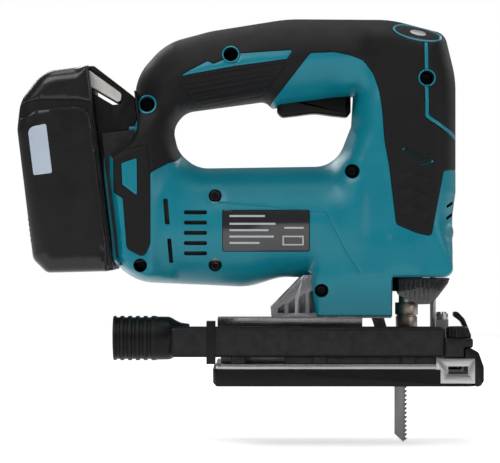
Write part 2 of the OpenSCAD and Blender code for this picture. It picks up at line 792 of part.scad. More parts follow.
// ---- base ----
saddle_half_w = 12.4;
saddle_in_r = 33.3;
module base_saddle() {
  color(steel) difference() {
    box([-74, -saddle_half_w, 25], [9, saddle_half_w, 37.9]);
    rod_x(-80, 20, saddle_in_r, 0, 0);
    rod_z(23, 40, 3.1, -45, 0);
    for (x = [-66, -24]) {
      box([x, -4, 30], [x + 12, 4, 40]);
    }
  }
  color(steel) difference() {
    union() {
      rod_z(24, 37.9, 3, -45, 0);
      rod_z(24, 28, 5.2, -45, 0);
    }
    rod_z(23, 26.4, 2.5, -45, 0);
  }
}
slot_x = 12;
module blade_slot() {
  box([slot_x, -slot_w / 2, -5], [90, slot_w / 2, 60]);
}
module bevel_slot(z) {
  box([slot_x, -slot_w / 2, z], [51.9, 20.5, 60]);
}
module sole_plate() {
  color(steel) difference() {
    union() {
      translate([0, 0, 9.5]) linear_extrude(2.9) slab(-74.6, -36.6, 71.4, 36.6, 5);
      box([52, -37.6, 1.7], [71.5, 37.6, 15.8]);
      box([49.6, -37.6, 9.5], [53, -26, 15.8]);
      box([52.6, 14, 12], [60.4, 22.6, 36]);
    }
    blade_slot();
    bevel_slot(9);
    box([56.3, -50, 7.1], [67.5, 50, 11.4]);
    rod_z(10, 20, 2.05, knob_x, knob_y);
    rod_z(10, 40, 2.04, 56.5, 18.3);
    rod_z(0, 14, 6.5, -45, 0);
  }
}
module sole_cover() {
  lip = [[71.7, 0, 0], [74.4, 0, 3], [76.4, 3, 3], [76.4, 11, 6], [73.4, 19.4, 3], [69.4, 21.4, 2],
    [66, 21.4, 1], [66, 16, 0], [71.7, 16, 0]];
  color(black) difference() {
    union() {
      intersection() {
        linear_extrude(cover_h) slab(-76.4, -sole_half_w, 71.8, sole_half_w, 6);
        side(-50, 50) polygon([[-76.4, 2], [-74.4, 0], [80, 0], [80, 12], [-76.4, 12]]);
      }
      for (s = [-1, 1]) {
        side(min(s * 9, s * sole_half_w), max(s * 9, s * sole_half_w)) polygon(rounded(lip));
      }
    }
    blade_slot();
    bevel_slot(2.6);
    box([51.9, -50, 1.65], [71.6, 50, 16]);
    for (s = [-1, 1]) {
      for (k = [0:2]) {
        box([-71 + 27 * k, min(s * 4, s * 34.6), 2.8], [-47 + 27 * k, max(s * 4, s * 34.6), 12]);
      }
    }
    box([14, -34.6, 2.8], [48, -10, 12]);
    box([14, 23, 2.8], [48, 34.6, 12]);
    rod_z(-1, 14, 6.5, -45, 0);
    box([20, -slot_w / 2 - 1, 0.6], [49, slot_w / 2 + 1, 1.9]);
  }
}
module splinter_guard() {
  color([0.9, 0.9, 0.88]) difference() {
    union() {
      box([20.1, -slot_w / 2 - 0.9, 0.65], [48.9, slot_w / 2 + 0.9, 1.85]);
      box([20.1, -slot_w / 2 + 0.1, 0.05], [48.9, slot_w / 2 - 0.1, 1.85]);
    }
    box([25, -2.9, -1], [60, 2.9, 3]);
  }
}
module base_bracket() {
  color(grey) difference() {
    intersection() {
      rod_x(-72, 9, 33, 0, 0);
      box([-72, -21, 12.45], [9, 21, 40]);
    }
    rod_x(-73, 10, 30, 0, 0);
    box([-53.5, -6, 12], [-36.5, 40, 40]);
  }
  color(grey) difference() {
    union() {
      for (s = [-1, 1]) {
        box([-72, min(s * 18, s * 21), 12.45], [9, max(s * 18, s * 21), 25]);
      }
    }
    box([-53.5, -6, 12], [-36.5, 40, 40]);
  }
}
module guide_clamp() {
  color(steel) difference() {
    union() {
      rod_z(36.05, 39.4, 4, 56.5, 18.3);
      rod_z(39.4, 40.4, 3, 56.5, 18.3);
      rod_z(11.4, 36.5, 2, 56.5, 18.3);
    }
    box([53, 17.9, 39], [60, 18.7, 42]);
    box([56.1, 14, 39], [56.9, 22.6, 42]);
  }
}
duct = [[-100.5, -37.6, 16.4], [54.6, -24, 33.5]];
cuff_y = -25;
cuff_z = 26.8;
knob_x = 62;
knob_y = -31;
module dust_nozzle() {
  arch = [[60.6, 41.6, 1], [63, 41.6, 1], [66.8, 37.6, 6], [70.4, 28.6, 4], [70.4, 22, 0], [68, 22, 0],
    [68, 28, 4], [64.8, 36, 6], [60.6, 39, 1]];
  color(black) difference() {
    union() {
      box(duct[0], duct[1]);
      rod_x(-133, -100, 12.7, cuff_y, cuff_z);
      rod_x(-104, -98, 11.6, cuff_y, cuff_z);
      box([54, -37.8, 16], [65.8, -22, 27.2]);
      box([65, -37.8, 21.7], [70.4, -22, 27.2]);
      side(-23.8, -12.6) polygon(rounded(arch));
      for (x = [-66, -20, 30]) {
        box([x, -37, 12.5], [x + 8, -26, 17]);
      }
    }
    for (k = [0:4]) {
      difference() {
        rod_x(-131 + 4.6 * k, -129.2 + 4.6 * k, 14, cuff_y, cuff_z);
        rod_x(-132 + 4.6 * k, -128 + 4.6 * k, 12, cuff_y, cuff_z);
      }
    }
    rod_x(-134, -101, cuff_bore_r, cuff_y, cuff_z);
    box([-102, -35.8, 18.2], [53, -25.8, 31.7]);
    box([40, -30, 18.2], [52.8, -20, 31.7]);
    box([knob_x - 2.5, -39, 15], [knob_x + 2.5, -28.4, 30]);
  }
}
module nozzle_clip() {
  color(black) difference() {
    box([-80, -38, 12.6], [-75, -22.4, 36.6]);
    box([-81, duct[0][1] - 0.05, duct[0][2] - 0.05], [-74, duct[1][1] + 0.05, duct[1][2] + 0.05]);
  }
}
module nozzle_knob() {
  color(black) difference() {
    rod_z(27.4, 33.7, 6.3, knob_x, knob_y);
    for (k = [0:11]) {
      translate([knob_x, knob_y, 0]) rotate([0, 0, 30 * k]) rod_z(26, 35, 0.9, 6.7, 0);
    }
  }
  color(steel) rod_z(11.5, 28, 2, knob_x, knob_y);
}

// ---- one line per node ----
housing_right();
housing_left();
grip_right();
grip_left();
badge_plate();
badge_emblem();
rating_plate();
housing_screws();
gear_case();
motor_stator();
stator_coils();
motor_bearings();
gear_axle();
plunger_bushes();
switch_body();
terminal_block();
contact_blades();
controller();
lamp_lens();
wire_guard();
motor_shaft();
rotor_core();
cooling_fan();
drive_gear();
plunger_rod();
yoke();
blade_holder();
blade();
tool_opener();
dust_cover();
roller_arm();
roller();
roller_pin();
orbit_lever();
trigger();
lock_button();
battery_case();
battery_rails();
battery_cells();
cell_straps();
battery_board();
battery_contacts();
battery_label();
battery_button();
base_saddle();
sole_plate();
sole_cover();
base_bracket();
splinter_guard();
guide_clamp();
dust_nozzle();
nozzle_clip();
nozzle_knob();
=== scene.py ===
"""Visual model of a cordless D-handle jigsaw, built round its CAD frame."""

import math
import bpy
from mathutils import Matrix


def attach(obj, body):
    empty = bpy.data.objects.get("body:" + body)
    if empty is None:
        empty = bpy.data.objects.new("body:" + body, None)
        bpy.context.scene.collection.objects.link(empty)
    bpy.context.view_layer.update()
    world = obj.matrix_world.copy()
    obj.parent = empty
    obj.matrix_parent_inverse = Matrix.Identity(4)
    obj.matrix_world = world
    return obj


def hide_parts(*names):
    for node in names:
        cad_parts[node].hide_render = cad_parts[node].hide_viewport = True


bl_info = {
    "name": "Jigsaw looks",
    "version": (1, 0, 0),
    "blender": (4, 5, 0),
    "location": "3D View > Sidebar > Jigsaw",
    "description": "Builds the visible pieces and finishes of a cordless jigsaw on its CAD frame",
    "category": "Object",
}

import bmesh
import bpy
import numpy as np
from mathutils import Vector
from mathutils.geometry import delaunay_2d_cdt

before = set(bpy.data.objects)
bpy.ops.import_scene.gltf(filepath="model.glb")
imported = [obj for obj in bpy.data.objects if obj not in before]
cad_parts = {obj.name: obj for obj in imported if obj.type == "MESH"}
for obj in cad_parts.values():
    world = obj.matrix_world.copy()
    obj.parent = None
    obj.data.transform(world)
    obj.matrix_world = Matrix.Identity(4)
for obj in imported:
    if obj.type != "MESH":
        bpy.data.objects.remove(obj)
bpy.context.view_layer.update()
MM = 0.001
# Height of the studio floor, just under the blade's tip, in millimetres
FLOOR = -34.2
# Tilt of the battery rails from upright, and the root that their frame is measured from
RAIL_TILT = math.radians(7)
RAIL_ROOT = (-133.5, 81.2)
# Height of the motor barrel's axis, and how far below it the barrel's underside curves in
BARREL_Z, BARREL_DROP = 90.6, 35.3
# Half widths of the housing at the barrel, handle bar, gear head, foot and battery flare
BARREL_HALF, BAR_HALF, HEAD_HALF, FOOT_HALF, FLARE_HALF = 33.5, 18.5, 31, 26, 36
# Half widths of the battery case and of its release button
CASE_HALF, BUTTON_HALF = 37.5, 28.8
# Axis of the hose cuff and of the nozzle's knob, and places shared by a piece and its hole
CUFF = (0, -25, 26.8)
KNOB = (62, -31, 0)
LAMP = (0, 0, 86.8)
LOCK = (-14, 0, 187)
PLAIN_OFFSETS = (0.3, -0.3)

# ---- outlines in side view, in millimetres: along X, along Z, corner radius ----
BODY = [(-122.5, 158, 0), (-120.5, 177.5, 34), (-104, 196, 34), (-78, 203, 60), (-34, 210, 90),
        (26, 209.6, 60), (57, 201.5, 8), (63.2, 176, 60), (63.2, 110, 0), (61.3, 96, 40), (61.3, 76, 0),
        (60.5, 61, 6), (50, 61, 10), (26.4, 61, 0), (26.4, 37.9, 1), (-18.3, 37.9, 2), (-23, 61, 0),
        (-38, 61.2, 30), (-56, 55.4, 40), (-119, 58.2, 28), (-133, 68, 14), (-134, 85, 0),
        (-138, 118, 0), (-138.4, 132, 6), (-124.5, 141, 9)]
HAND = [(-99.9, 147, 14), (-92.5, 156, 12), (-46.5, 162.2, 6), (-42, 157.5, 4), (-38.5, 159.5, 0),
        (4, 165, 0), (3, 148, 0), (-6, 125, 34), (-86, 123.8, 22), (-96.8, 133, 16)]
GRIP = [(-21.3, 188.6, 3), (-7.7, 189.1, 10), (0.9, 187.4, 10), (8.8, 184.6, 8), (14.5, 177.2, 10),
        (17.9, 167.5, 20), (19.6, 156.2, 20), (20.8, 139.7, 20), (23.6, 123.8, 20), (27.5, 91.6, 1.5),
        (38.6, 86.8, 8), (47.1, 84.8, 2), (54.4, 122, 2), (90, 124, 0), (90, 230, 0), (-150, 230, 0),
        (-150, 180, 0), (-119.6, 167, 3), (-119.4, 144.4, 4), (-135.2, 131.2, 1.5), (-132.6, 128.4, 1.5),
        (-132.6, 109.4, 2), (-127, 106.3, 2), (-124.8, 77.8, 3), (-115.2, 72.7, 3), (-111.8, 80.6, 3),
        (-111.8, 120.7, 2), (-102.2, 126.3, 3), (-97.7, 127.5, 2), (-93.8, 132.5, 0), (-80, 140, 0),
        (-44, 156, 0), (-43.4, 160.4, 0)]
WEDGE = [(-97, 174.6, 1), (-79.4, 184.2, 2), (-76, 182.4, 1.5), (-61.7, 188.4, 1.5), (-30.5, 190.4, 1),
         (-34.5, 184.9, 1), (-63.4, 181.1, 8), (-89.1, 176.5, 8)]
PAD = [(-98, 173, 2.5), (-33.2, 183.2, 1.5), (-48.5, 165.3, 3), (-84.5, 158.6, 5)]
CHEEK_INLAY = [(-119.1, 129.1, 1), (-128.2, 126, 1), (-127.6, 113.9, 1), (-118.9, 107.1, 1)]
HEAD_STRIP = [(43.7, 195, 0.3), (46, 195, 0.3), (46, 153.4, 2), (62.6, 142.2, 0), (62.6, 139.6, 0),
              (43.7, 152.2, 2)]
TRIANGLE = [(25.2, 138, 1), (50.4, 126.9, 0.8), (41.6, 124.8, 0.8)]
RATING = [(-71.2, 76, 1.2), (-71.2, 99.7, 1.2), (-21.5, 99.7, 1.2), (-21.5, 76, 1.2)]
SLOTS = [[(-104.6, 106, 0.6), (-102, 106, 0.6), (-100.6, 91.4, 0.6), (-103.4, 91.4, 0.6)],
         [(-102.3, 83.4, 0.6), (-100, 83.4, 0.6), (-98.9, 69.6, 0.6), (-101.2, 69.6, 0.6)],
         [(56.4, 100.4, 0.7), (56.4, 102.2, 0.7), (60.6, 105, 0.7), (60.6, 103, 0.7)],
         [(56.2, 93.7, 0.7), (56.2, 95.5, 0.7), (60.6, 98.3, 0.7), (60.6, 96.3, 0.7)]]
SLOTS += [[(-92.8, 73.9 + 5.8 * k, 0.9), (-92.8, 76.2 + 5.8 * k, 0.9), (-79.7, 76.2 + 5.8 * k, 0.9),
           (-79.7, 73.9 + 5.8 * k, 0.9)] for k in range(5)]
# Screw places: x, z, hole radius, ring radius, seat depth from the mid-plane
RING_SCREWS = [(-66.3, 187.9, 4.2, 5.1, 10), (45, 174.6, 4.2, 5.1, 17), (-113.9, 159.7, 4.4, 5.6, 11)]
DEEP_SCREWS = [(-14.8, 53.9, 3.9, 0, 19.2), (-117.4, 68.3, 3.9, 0, 22), (2.6, 121.6, 4.2, 0, 19),
               (-75.2, 107.6, 3.8, 0, 25), (-75.2, 68.4, 3.8, 0, 20)]
PANEL_LINE = [(-74, 104.4), (-70.7, 103.8), (-12.3, 98.1), (-1.6, 76.6), (6.3, 64.8)]
CREASE_LINE = [(25, 90), (25, 62)]
BAND_LINE = [(-111.8, 120.7), (-113.4, 136.4), (-136.5, 130.6)]
# Badge: x, z, half length, half height, tilt
BADGE = (40.3, 200.9, 14.6, 5.1, -0.2)
# The lock button's hole, stated as the screw places are
LOCK_HOLE = (LOCK[0], LOCK[2], 5.3, 0, 14)
# Heights of the chevrons on the head, and where their middle lies along X
CHEVRONS = (119.4, 110, 100.2)
CHEVRON_X = 36.9
# Battery outlines in the frame of its rails
CASE = [(-1, -15.6, 0), (-5.1, -15.9, 2), (-38.8, -12.6, 5), (-45.6, -4, 6), (-45.6, 70, 14),
        (-41.8, 86, 20), (-27, 100.8, 14), (-1, 101, 0)]
CASE_PANEL = [(-60, 75, 0), (-40.8, 76, 3), (-33.6, 79.4, 4), (-10.9, 78.9, 4), (-3.6, 76, 4), (-2.6, 53, 6),
              (-3.2, -6, 4), (-8, -30, 0), (-60, -30, 0)]
CASE_BAND = [(-60, 83.5, 0), (-39.9, 84.2, 3), (-30.2, 85, 6), (-8.9, 82.4, 6), (-4, 80.6, 2), (4, 81, 0),
             (4, 120, 0), (-60, 120, 0)]
BUTTON = [(-2.9, 100.3, 2.4), (15.6, 83.2, 2.2), (14.2, 77.4, 2.2), (-7.2, 93.6, 2.4)]
STRIPE = [(-39, 43, 1), (-39, 70, 4), (-28.4, 71, 1), (-28.4, 43, 1)]
# Walls beside the battery's rails: near low corner, far high corner, edge radius
RAIL_WALLS = [((22.7, 0.05, -10.8), (23.6, 28.7, 84), 0.3), ((1.5, 28.5, -9), (23.2, 30.5, 62), 0.4),
              ((6.5, 26.4, -9.5), (10.5, 28.8, 51.5), 0.5), ((3, 0.05, -13.5), (23.4, 30, -11.1), 0.6)]
# How far inside an outline the rounded rim gets its rows of points
RIM = (0.12, 0.5, 1.1, 2, 3.2, 4.6, 6.4)
BODY_RIM = (0.12, 0.45, 1.0, 1.9, 3.0, 4.4, 6.2)


# ---- flat geometry ----
def rounded(points, spacing=1.0):
    """Corner points (x, z, radius) as a fine closed outline."""
    out = []
    count = len(points)
    for i, (x, z, radius) in enumerate(points):
        p = np.array([x, z], float)
        va = np.array(points[i - 1][:2], float) - p
        vb = np.array(points[(i + 1) % count][:2], float) - p
        la, lb = np.linalg.norm(va), np.linalg.norm(vb)
        a, b = va / la, vb / lb
        half = math.acos(float(np.clip(a @ b, -1, 1))) / 2
        if radius <= 0 or half > 1.55:
            out.append(p)
            continue
        r = min(radius, 0.48 * min(la, lb) * math.tan(half))
        centre = p + (a + b) / np.linalg.norm(a + b) * r / math.sin(half)
        start = p + a * r / math.tan(half) - centre
        end = p + b * r / math.tan(half) - centre
        turn = math.copysign(math.pi - 2 * half, start[0] * end[1] - start[1] * end[0])
        steps = max(3, int(abs(turn) * r / spacing))
        for k in range(steps + 1):
            w = turn * k / steps
            out.append(centre + [start[0] * math.cos(w) - start[1] * math.sin(w),
                                 start[0] * math.sin(w) + start[1] * math.cos(w)])
    return np.array(out)


def winding(outline):
    """1 for an outline that runs anticlockwise, -1 for a clockwise one."""
    x, z = outline[:, 0], outline[:, 1]
    return 1 if (x * np.roll(z, -1) - np.roll(x, -1) * z).sum() > 0 else -1


def sideways(line):
    """Unit normals of a closed line."""
    along = np.roll(line, -1, 0) - np.roll(line, 1, 0)
    normal = np.stack([-along[:, 1], along[:, 0]], 1)
    return normal / np.maximum(np.linalg.norm(normal, axis=1), 1e-9)[:, None]


def scaled(outline, share):
    """The outline scaled about its middle."""
    middle = outline.mean(0)
    return middle + (outline - middle) * share


def mirrored(side, near, far):
    """The range from near to far on one side of the mid-plane, lowest first."""
    return (near, far) if side > 0 else (-far, -near)


def ring(x, z, radius, count=28):
    """A circle as an outline."""
    w = np.arange(count) * 2 * math.pi / count
    return np.stack([x + radius * np.cos(w), z + radius * np.sin(w)], 1)


def oval(x, z, a, b, tilt, count=56):
    """A tilted ellipse as an outline."""
    w = np.arange(count) * 2 * math.pi / count
    c, s = math.cos(tilt), math.sin(tilt)
    return np.stack([x + a * np.cos(w) * c - b * np.sin(w) * s, z + a * np.cos(w) * s + b * np.sin(w) * c], 1)


def refine(line, spacing, closed=True):
    """The same line with points no further apart than spacing."""
    line = np.asarray(line, float)
    ends = np.roll(line, -1, 0) if closed else line[1:]
    out = []
    for a, b in zip(line, ends):
        steps = max(1, int(math.ceil(np.linalg.norm(b - a) / spacing)))
        out += [a + (b - a) * k / steps for k in range(steps)]
    if not closed:
        out.append(line[-1])
    return np.array(out)


def distance(points, line, closed=True):
    """How far each point is from the line."""
    a = np.asarray(line, float)
    b = np.roll(a, -1, 0)
    if not closed:
        a, b = a[:-1], b[:-1]
    best = np.full(len(points), 1e12)
    for s, e in zip(a, b):
        d = e - s
        size = max(float(d @ d), 1e-12)
        t = np.clip((points - s) @ d / size, 0, 1)
        q = points - s - t[:, None] * d
        np.minimum(best, (q * q).sum(1), out=best)
    return np.sqrt(best)


def inside(points, outline):
    """Which points lie inside the outline."""
    a = np.asarray(outline, float)
    b = np.roll(a, -1, 0)
    found = np.zeros(len(points), bool)
    x, z = points[:, 0], points[:, 1]
    for s, e in zip(a, b):
        if s[1] == e[1]:
            continue
        crosses = (s[1] > z) != (e[1] > z)
        found ^= crosses & (x < (e[0] - s[0]) * (z - s[1]) / (e[1] - s[1]) + s[0])
    return found


def step_up(value, low, high):
    """0 below low, 1 above high, smooth between."""
    t = np.clip((value - low) / (high - low), 0, 1)
    return t * t * (3 - 2 * t)


def round_in(depth):
    """Quarter circle from 0 at depth 0 to 1 at depth 1."""
    t = np.clip(depth, 0, 1)
    return np.sqrt(np.maximum(0, 1 - (1 - t) ** 2))


def merge(a, b, blend):
    """The larger of two heights, with a fillet of about blend where they meet."""
    blend = np.maximum(blend, 1e-6)
    return np.maximum(a, b) + np.maximum(blend - np.abs(a - b), 0) ** 2 / (4 * blend)


class Sheet:
    """Triangles over an area of the side view. They are cut along the closed outlines and the open lines."""

    def __init__(self, outlines, lines=(), grid=1.7, dense=()):
        fixed, edges, soft = [], [], []
        for outline, offsets in outlines:
            line = refine(outline, 1.1)
            start = len(fixed)
            fixed += list(line)
            count = len(line)
            edges += [(start + k, start + (k + 1) % count) for k in range(count)]
            normal = sideways(line)
            for d in offsets:
                if d:
                    soft += [(p, min(0.3, abs(d) * 0.8)) for p in line + normal * d]
        for line, offsets in lines:
            line = refine(line, 0.8, closed=False)
            tangent = np.gradient(line, axis=0)
            normal = np.stack([-tangent[:, 1], tangent[:, 0]], 1)
            normal /= np.linalg.norm(normal, axis=1)[:, None]
            for d in offsets:
                soft += [(p, 0.22) for p in line + normal * d]
        whole = np.array(fixed)
        low, high = whole.min(0), whole.max(0)
        for k, z in enumerate(np.arange(low[1], high[1], grid * 0.87)):
            soft += [(np.array([x, z]), grid * 0.5)
                     for x in np.arange(low[0] + (k % 2) * grid / 2, high[0], grid)]
        extra = []
        for area, spacing in dense:
            lo, hi = area.min(0), area.max(0)
            gx, gz = np.meshgrid(np.arange(lo[0], hi[0], spacing), np.arange(lo[1], hi[1], spacing))
            cloud = np.stack([gx.ravel(), gz.ravel()], 1)
            extra += [(p, spacing * 0.6) for p in cloud[inside(cloud, area)]]
        kept = self._spread(fixed, extra + soft)
        result = delaunay_2d_cdt([Vector(p) for p in kept], edges, [], 0, 1e-5)
        self.points = np.array([list(v) for v in result[0]])
        self.triangles = np.array([list(f) for f in result[2]], int)
        a, b, c = (self.points[self.triangles[:, k]] for k in range(3))
        self.centres = (a + b + c) / 3
        area = (b[:, 0] - a[:, 0]) * (c[:, 1] - a[:, 1]) - (b[:, 1] - a[:, 1]) * (c[:, 0] - a[:, 0])
        self.triangles[area < 0] = self.triangles[area < 0][:, ::-1]

    @staticmethod
    def _spread(fixed, soft):
        """Drops points that crowd an earlier one."""
        kept = list(fixed)
        size = 0.9
        cells = {}

        def note(p, gap):
            cells.setdefault((int(p[0] // size), int(p[1] // size)), []).append((p[0], p[1], gap))

        for p in kept:
            note(p, 0)
        for p, gap in soft:
            i, k = int(p[0] // size), int(p[1] // size)
            limit = gap * gap
            if all((p[0] - q[0]) ** 2 + (p[1] - q[1]) ** 2 >= limit
                   for di in (-1, 0, 1) for dk in (-1, 0, 1) for q in cells.get((i + di, k + dk), ())):
                kept.append(p)
                note(p, gap)
        return kept


# ---- objects ----
def keep(name, shape, skins, body, nodes=(), angle=38):
    """Links a mesh or a Build with its finishes, smooth except at sharp edges, and hands it to the frame."""
    mesh = shape.mesh(name) if isinstance(shape, Build) else shape
    mesh.validate()
    obj = bpy.data.objects.new(name, mesh)
    bpy.context.scene.collection.objects.link(obj)
    for skin in [skins] if isinstance(skins, str) else skins:
        mesh.materials.append(FINISHES[skin])
    mesh.polygons.foreach_set("use_smooth", [True] * len(mesh.polygons))
    mesh.set_sharp_from_angle(angle=math.radians(angle))
    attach(obj, body)
    if nodes:
        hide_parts(*nodes)
    return obj


def from_lists(name, verts, faces, tags=None):
    """A mesh from millimetre points; tags are material numbers."""
    mesh = bpy.data.meshes.new(name)
    points = [tuple(float(c) * MM for c in v) for v in verts]
    mesh.from_pydata(points, [], [tuple(map(int, f)) for f in faces])
    if tags is not None:
        mesh.polygons.foreach_set("material_index", [int(t) for t in tags])
    mesh.update()
    return mesh


class Build:
    """Collects points and faces of one piece."""

    def __init__(self):
        self.verts, self.faces, self.tags = [], [], []

    def add(self, verts, faces, tag=0):
        """Adds faces by the numbers of their own points; tag is the material number."""
        base = len(self.verts)
        self.verts += [tuple(v) for v in verts]
        self.faces += [tuple(base + i for i in f) for f in faces]
        self.tags += [tag] * len(faces)

    def area(self, points, triangles, tag=0, flip=False):
        """The chosen triangles with only the points they use."""
        used = np.unique(triangles)
        number = {int(v): k for k, v in enumerate(used)}
        faces = [tuple(number[int(v)] for v in f) for f in triangles]
        self.add([points[int(v)] for v in used], [f[::-1] for f in faces] if flip else faces, tag)

    def loops(self, rings, closed_ends=(True, True), tag=0, flip=False):
        """Skins a row of equal rings of points."""
        n = len(rings[0])
        verts = [p for r in rings for p in r]
        faces = []
        for k in range(len(rings) - 1):
            for i in range(n):
                j = (i + 1) % n
                faces.append((k * n + i, k * n + j, (k + 1) * n + j, (k + 1) * n + i))
        if closed_ends[0]:
            faces.append(tuple(reversed(range(n))))
        if closed_ends[1]:
            faces.append(tuple(range((len(rings) - 1) * n, len(rings) * n)))
        if flip:
            faces = [f[::-1] for f in faces]
        self.add(verts, faces, tag)

    def lathe(self, profile, axis, centre, turns=48, tag=0, bumps=None):
        """Turns a profile of (along, radius) about an axis through centre."""
        rings = []
        for along, radius in profile:
            row = []
            for k in range(turns):
                w = 2 * math.pi * k / turns
                r = radius + (bumps(along, w, radius) if bumps else 0)
                a, b = r * math.cos(w), r * math.sin(w)
                p = {"x": (along, a, b), "y": (b, along, a), "z": (a, b, along)}[axis]
                row.append(tuple(c + o for c, o in zip(p, centre)))
            rings.append(row)
        self.loops(rings, (profile[0][1] > 1e-6, profile[-1][1] > 1e-6), tag)

    def slab(self, outline, y0, y1, edge=0.5, tag=0, place=None):
        """A side-view outline from y0 to y1 with rounded edges."""
        o = np.asarray(outline, float)
        turn = winding(o)
        normal = sideways(o) * turn
        rings = []
        steps = [(edge * (1 - math.sin(a)), edge * (1 - math.cos(a))) for a in
                 (0, math.pi / 6, math.pi / 3, math.pi / 2)]
        for inset, rise in steps:
            rings.append([(p[0], y0 + rise, p[1]) for p in o + normal * inset])
        for inset, rise in reversed(steps):
            rings.append([(p[0], y1 - rise, p[1]) for p in o + normal * inset])
        if place:
            rings = [[place(p) for p in r] for r in rings]
        self.loops(rings, tag=tag, flip=turn > 0)

    def block(self, low, high, edge=0.6, tag=0, place=None):
        """A box with rounded edges all round."""
        x0, y0, z0 = low
        x1, y1, z1 = high
        r = min(edge, (x1 - x0) * 0.45, (z1 - z0) * 0.45)
        corners = [(x0, z0, r), (x1, z0, r), (x1, z1, r), (x0, z1, r)]
        self.slab(rounded(corners, 0.5), y0, y1, r, tag, place)

    def mesh_plain(self, name):
        """The collected faces as they are."""
        return from_lists(name, self.verts, self.faces, self.tags)

    def mesh(self, name):
        """The collected faces, all turned outwards."""
        built = from_lists(name, self.verts, self.faces, self.tags)
        work = bmesh.new()
        work.from_mesh(built)
        bmesh.ops.recalc_face_normals(work, faces=work.faces)
        work.to_mesh(built)
        work.free()
        return built


def crisp(node, bevel=0.35, segments=2, angle=28):
    """The node's own solid with its edges broken, for pieces whose CAD shape is already the real one."""
    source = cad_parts[node].data
    work = bmesh.new()
    work.from_mesh(source)
    bmesh.ops.remove_doubles(work, verts=work.verts, dist=0.00001)
    bmesh.ops.dissolve_limit(work, angle_limit=math.radians(1.5), verts=work.verts, edges=work.edges)
    mesh = bpy.data.meshes.new(node + "_edges")
    work.to_mesh(mesh)
    work.free()
    holder = bpy.data.objects.new(node + "_work", mesh)
    bpy.context.scene.collection.objects.link(holder)
    mod = holder.modifiers.new("edges", "BEVEL")
    mod.width = bevel * MM
    mod.segments = segments
    mod.limit_method = "ANGLE"
    mod.angle_limit = math.radians(angle)
    mod.miter_outer = "MITER_ARC"
    mod.harden_normals = False
    bpy.context.view_layer.update()
    evaluated = holder.evaluated_get(bpy.context.evaluated_depsgraph_get())
    result = bpy.data.meshes.new_from_object(evaluated)
    result.materials.clear()
    bpy.data.objects.remove(holder)
    return result


def on_rails(p):
    """A point of the battery rails' frame in the tool's frame."""
    u, y, w = p
    c, s = math.cos(RAIL_TILT), math.sin(RAIL_TILT)
    return (RAIL_ROOT[0] + c * u - s * w, y, RAIL_ROOT[1] + s * u + c * w)


# ---- the housing's side surface ----
def trunk_half(points, edge):
    """Half width of the motor barrel."""
    z = points[:, 1]
    below = np.maximum(BARREL_Z - z, 0) / BARREL_DROP
    low = BARREL_HALF * np.sqrt(np.clip(1 - below ** 2, 0, 1))
    fade = round_in((19 - points[:, 0]) / 14)
    return np.minimum(BARREL_HALF * round_in(edge / BARREL_HALF), low) * fade


def body_half(points):
    """Half width of the tool's housing at each point of the side view."""
    x, z = points[:, 0], points[:, 1]
    outline, hole = rounded(BODY), rounded(HAND)
    edge = np.minimum(distance(points, outline), distance(points, hole))
    blend = 0.2 + 5 * step_up(edge, 0, 8)
    trunk = trunk_half(points, edge)
    bar = BAR_HALF * round_in(edge / 14) * step_up(z, 112, 124)
    bar *= 1 - 0.06 * step_up(np.abs(x + 40), 10, 40)
    side = HEAD_HALF - 0.19 * np.maximum(z - 162, 0)
    low_edge = np.minimum(edge, np.where(z < 80, z - 60.4, 99))
    head = side * round_in(np.maximum(low_edge, 0) / (1.6 + 12.9 * step_up(z, 63, 95)))
    head *= round_in((x + 12) / 16)
    wide = 18 + 18 * (1 - step_up(z, 140, 172))
    flare = np.minimum(wide, FLARE_HALF - 1.1 * (x + 112)) * round_in(edge / 7) * step_up(-x, 86, 99)
    foot = (FOOT_HALF + 5 * step_up(z, 40, 62)) * round_in(edge / 2.2) * round_in((x + 22) / 7) * (x > -22)
    foot *= (x < 40) * (1 - step_up(z, 82, 100))
    half = merge(trunk, bar, blend)
    half = merge(half, head, blend)
    half = merge(half, np.maximum(flare, 0), blend)
    return merge(half, np.maximum(foot, 0), 0.1 + 4 * step_up(edge, 2, 8)), edge


def cheek_floor(points):
    """The housing's sides stand this far out beside the battery rails."""
    x, z = points[:, 0], points[:, 1]
    tall = step_up(z, 66, 71) * (1 - step_up(z, 146, 160))
    return 28.6 * tall * step_up(-x, 112, 118)


class Surface:
    """The half width, softened away from the outline."""

    def __init__(self, step=1.0):
        xs = np.arange(-142, 68, step)
        zs = np.arange(34, 214, step)
        gx, gz = np.meshgrid(xs, zs)
        cloud = np.stack([gx.ravel(), gz.ravel()], 1)
        half, _ = body_half(cloud)
        solid = inside(cloud, rounded(BODY)) & ~inside(cloud, rounded(HAND))
        half = (half * solid).reshape(gx.shape)
        weight = solid.astype(float).reshape(gx.shape)
        kernel = np.exp(-(np.arange(-4, 5) ** 2) / 5.0)
        kernel /= kernel.sum()
        for axis in (0, 1):
            half = np.apply_along_axis(lambda r: np.convolve(r, kernel, "same"), axis, half)
            weight = np.apply_along_axis(lambda r: np.convolve(r, kernel, "same"), axis, weight)
        self.soft = half / np.maximum(weight, 1e-3)
        self.low = (xs[0], zs[0])
        self.step = step

    def __call__(self, points):
        """Half width at each point, and how far the point is from the housing's outline."""
        half, edge = body_half(points)
        fx = np.clip((points[:, 0] - self.low[0]) / self.step, 0, self.soft.shape[1] - 1.001)
        fz = np.clip((points[:, 1] - self.low[1]) / self.step, 0, self.soft.shape[0] - 1.001)
        i, k = fx.astype(int), fz.astype(int)
        tx, tz = fx - i, fz - k
        s = self.soft
        soft = ((s[k, i] * (1 - tx) + s[k, i + 1] * tx) * (1 - tz)
                + (s[k + 1, i] * (1 - tx) + s[k + 1, i + 1] * tx) * tz)
        mix = step_up(edge, 5, 10) * (points[:, 1] > 66)
        half = half * (1 - mix) + soft * mix
        return np.maximum(half, cheek_floor(points)), edge


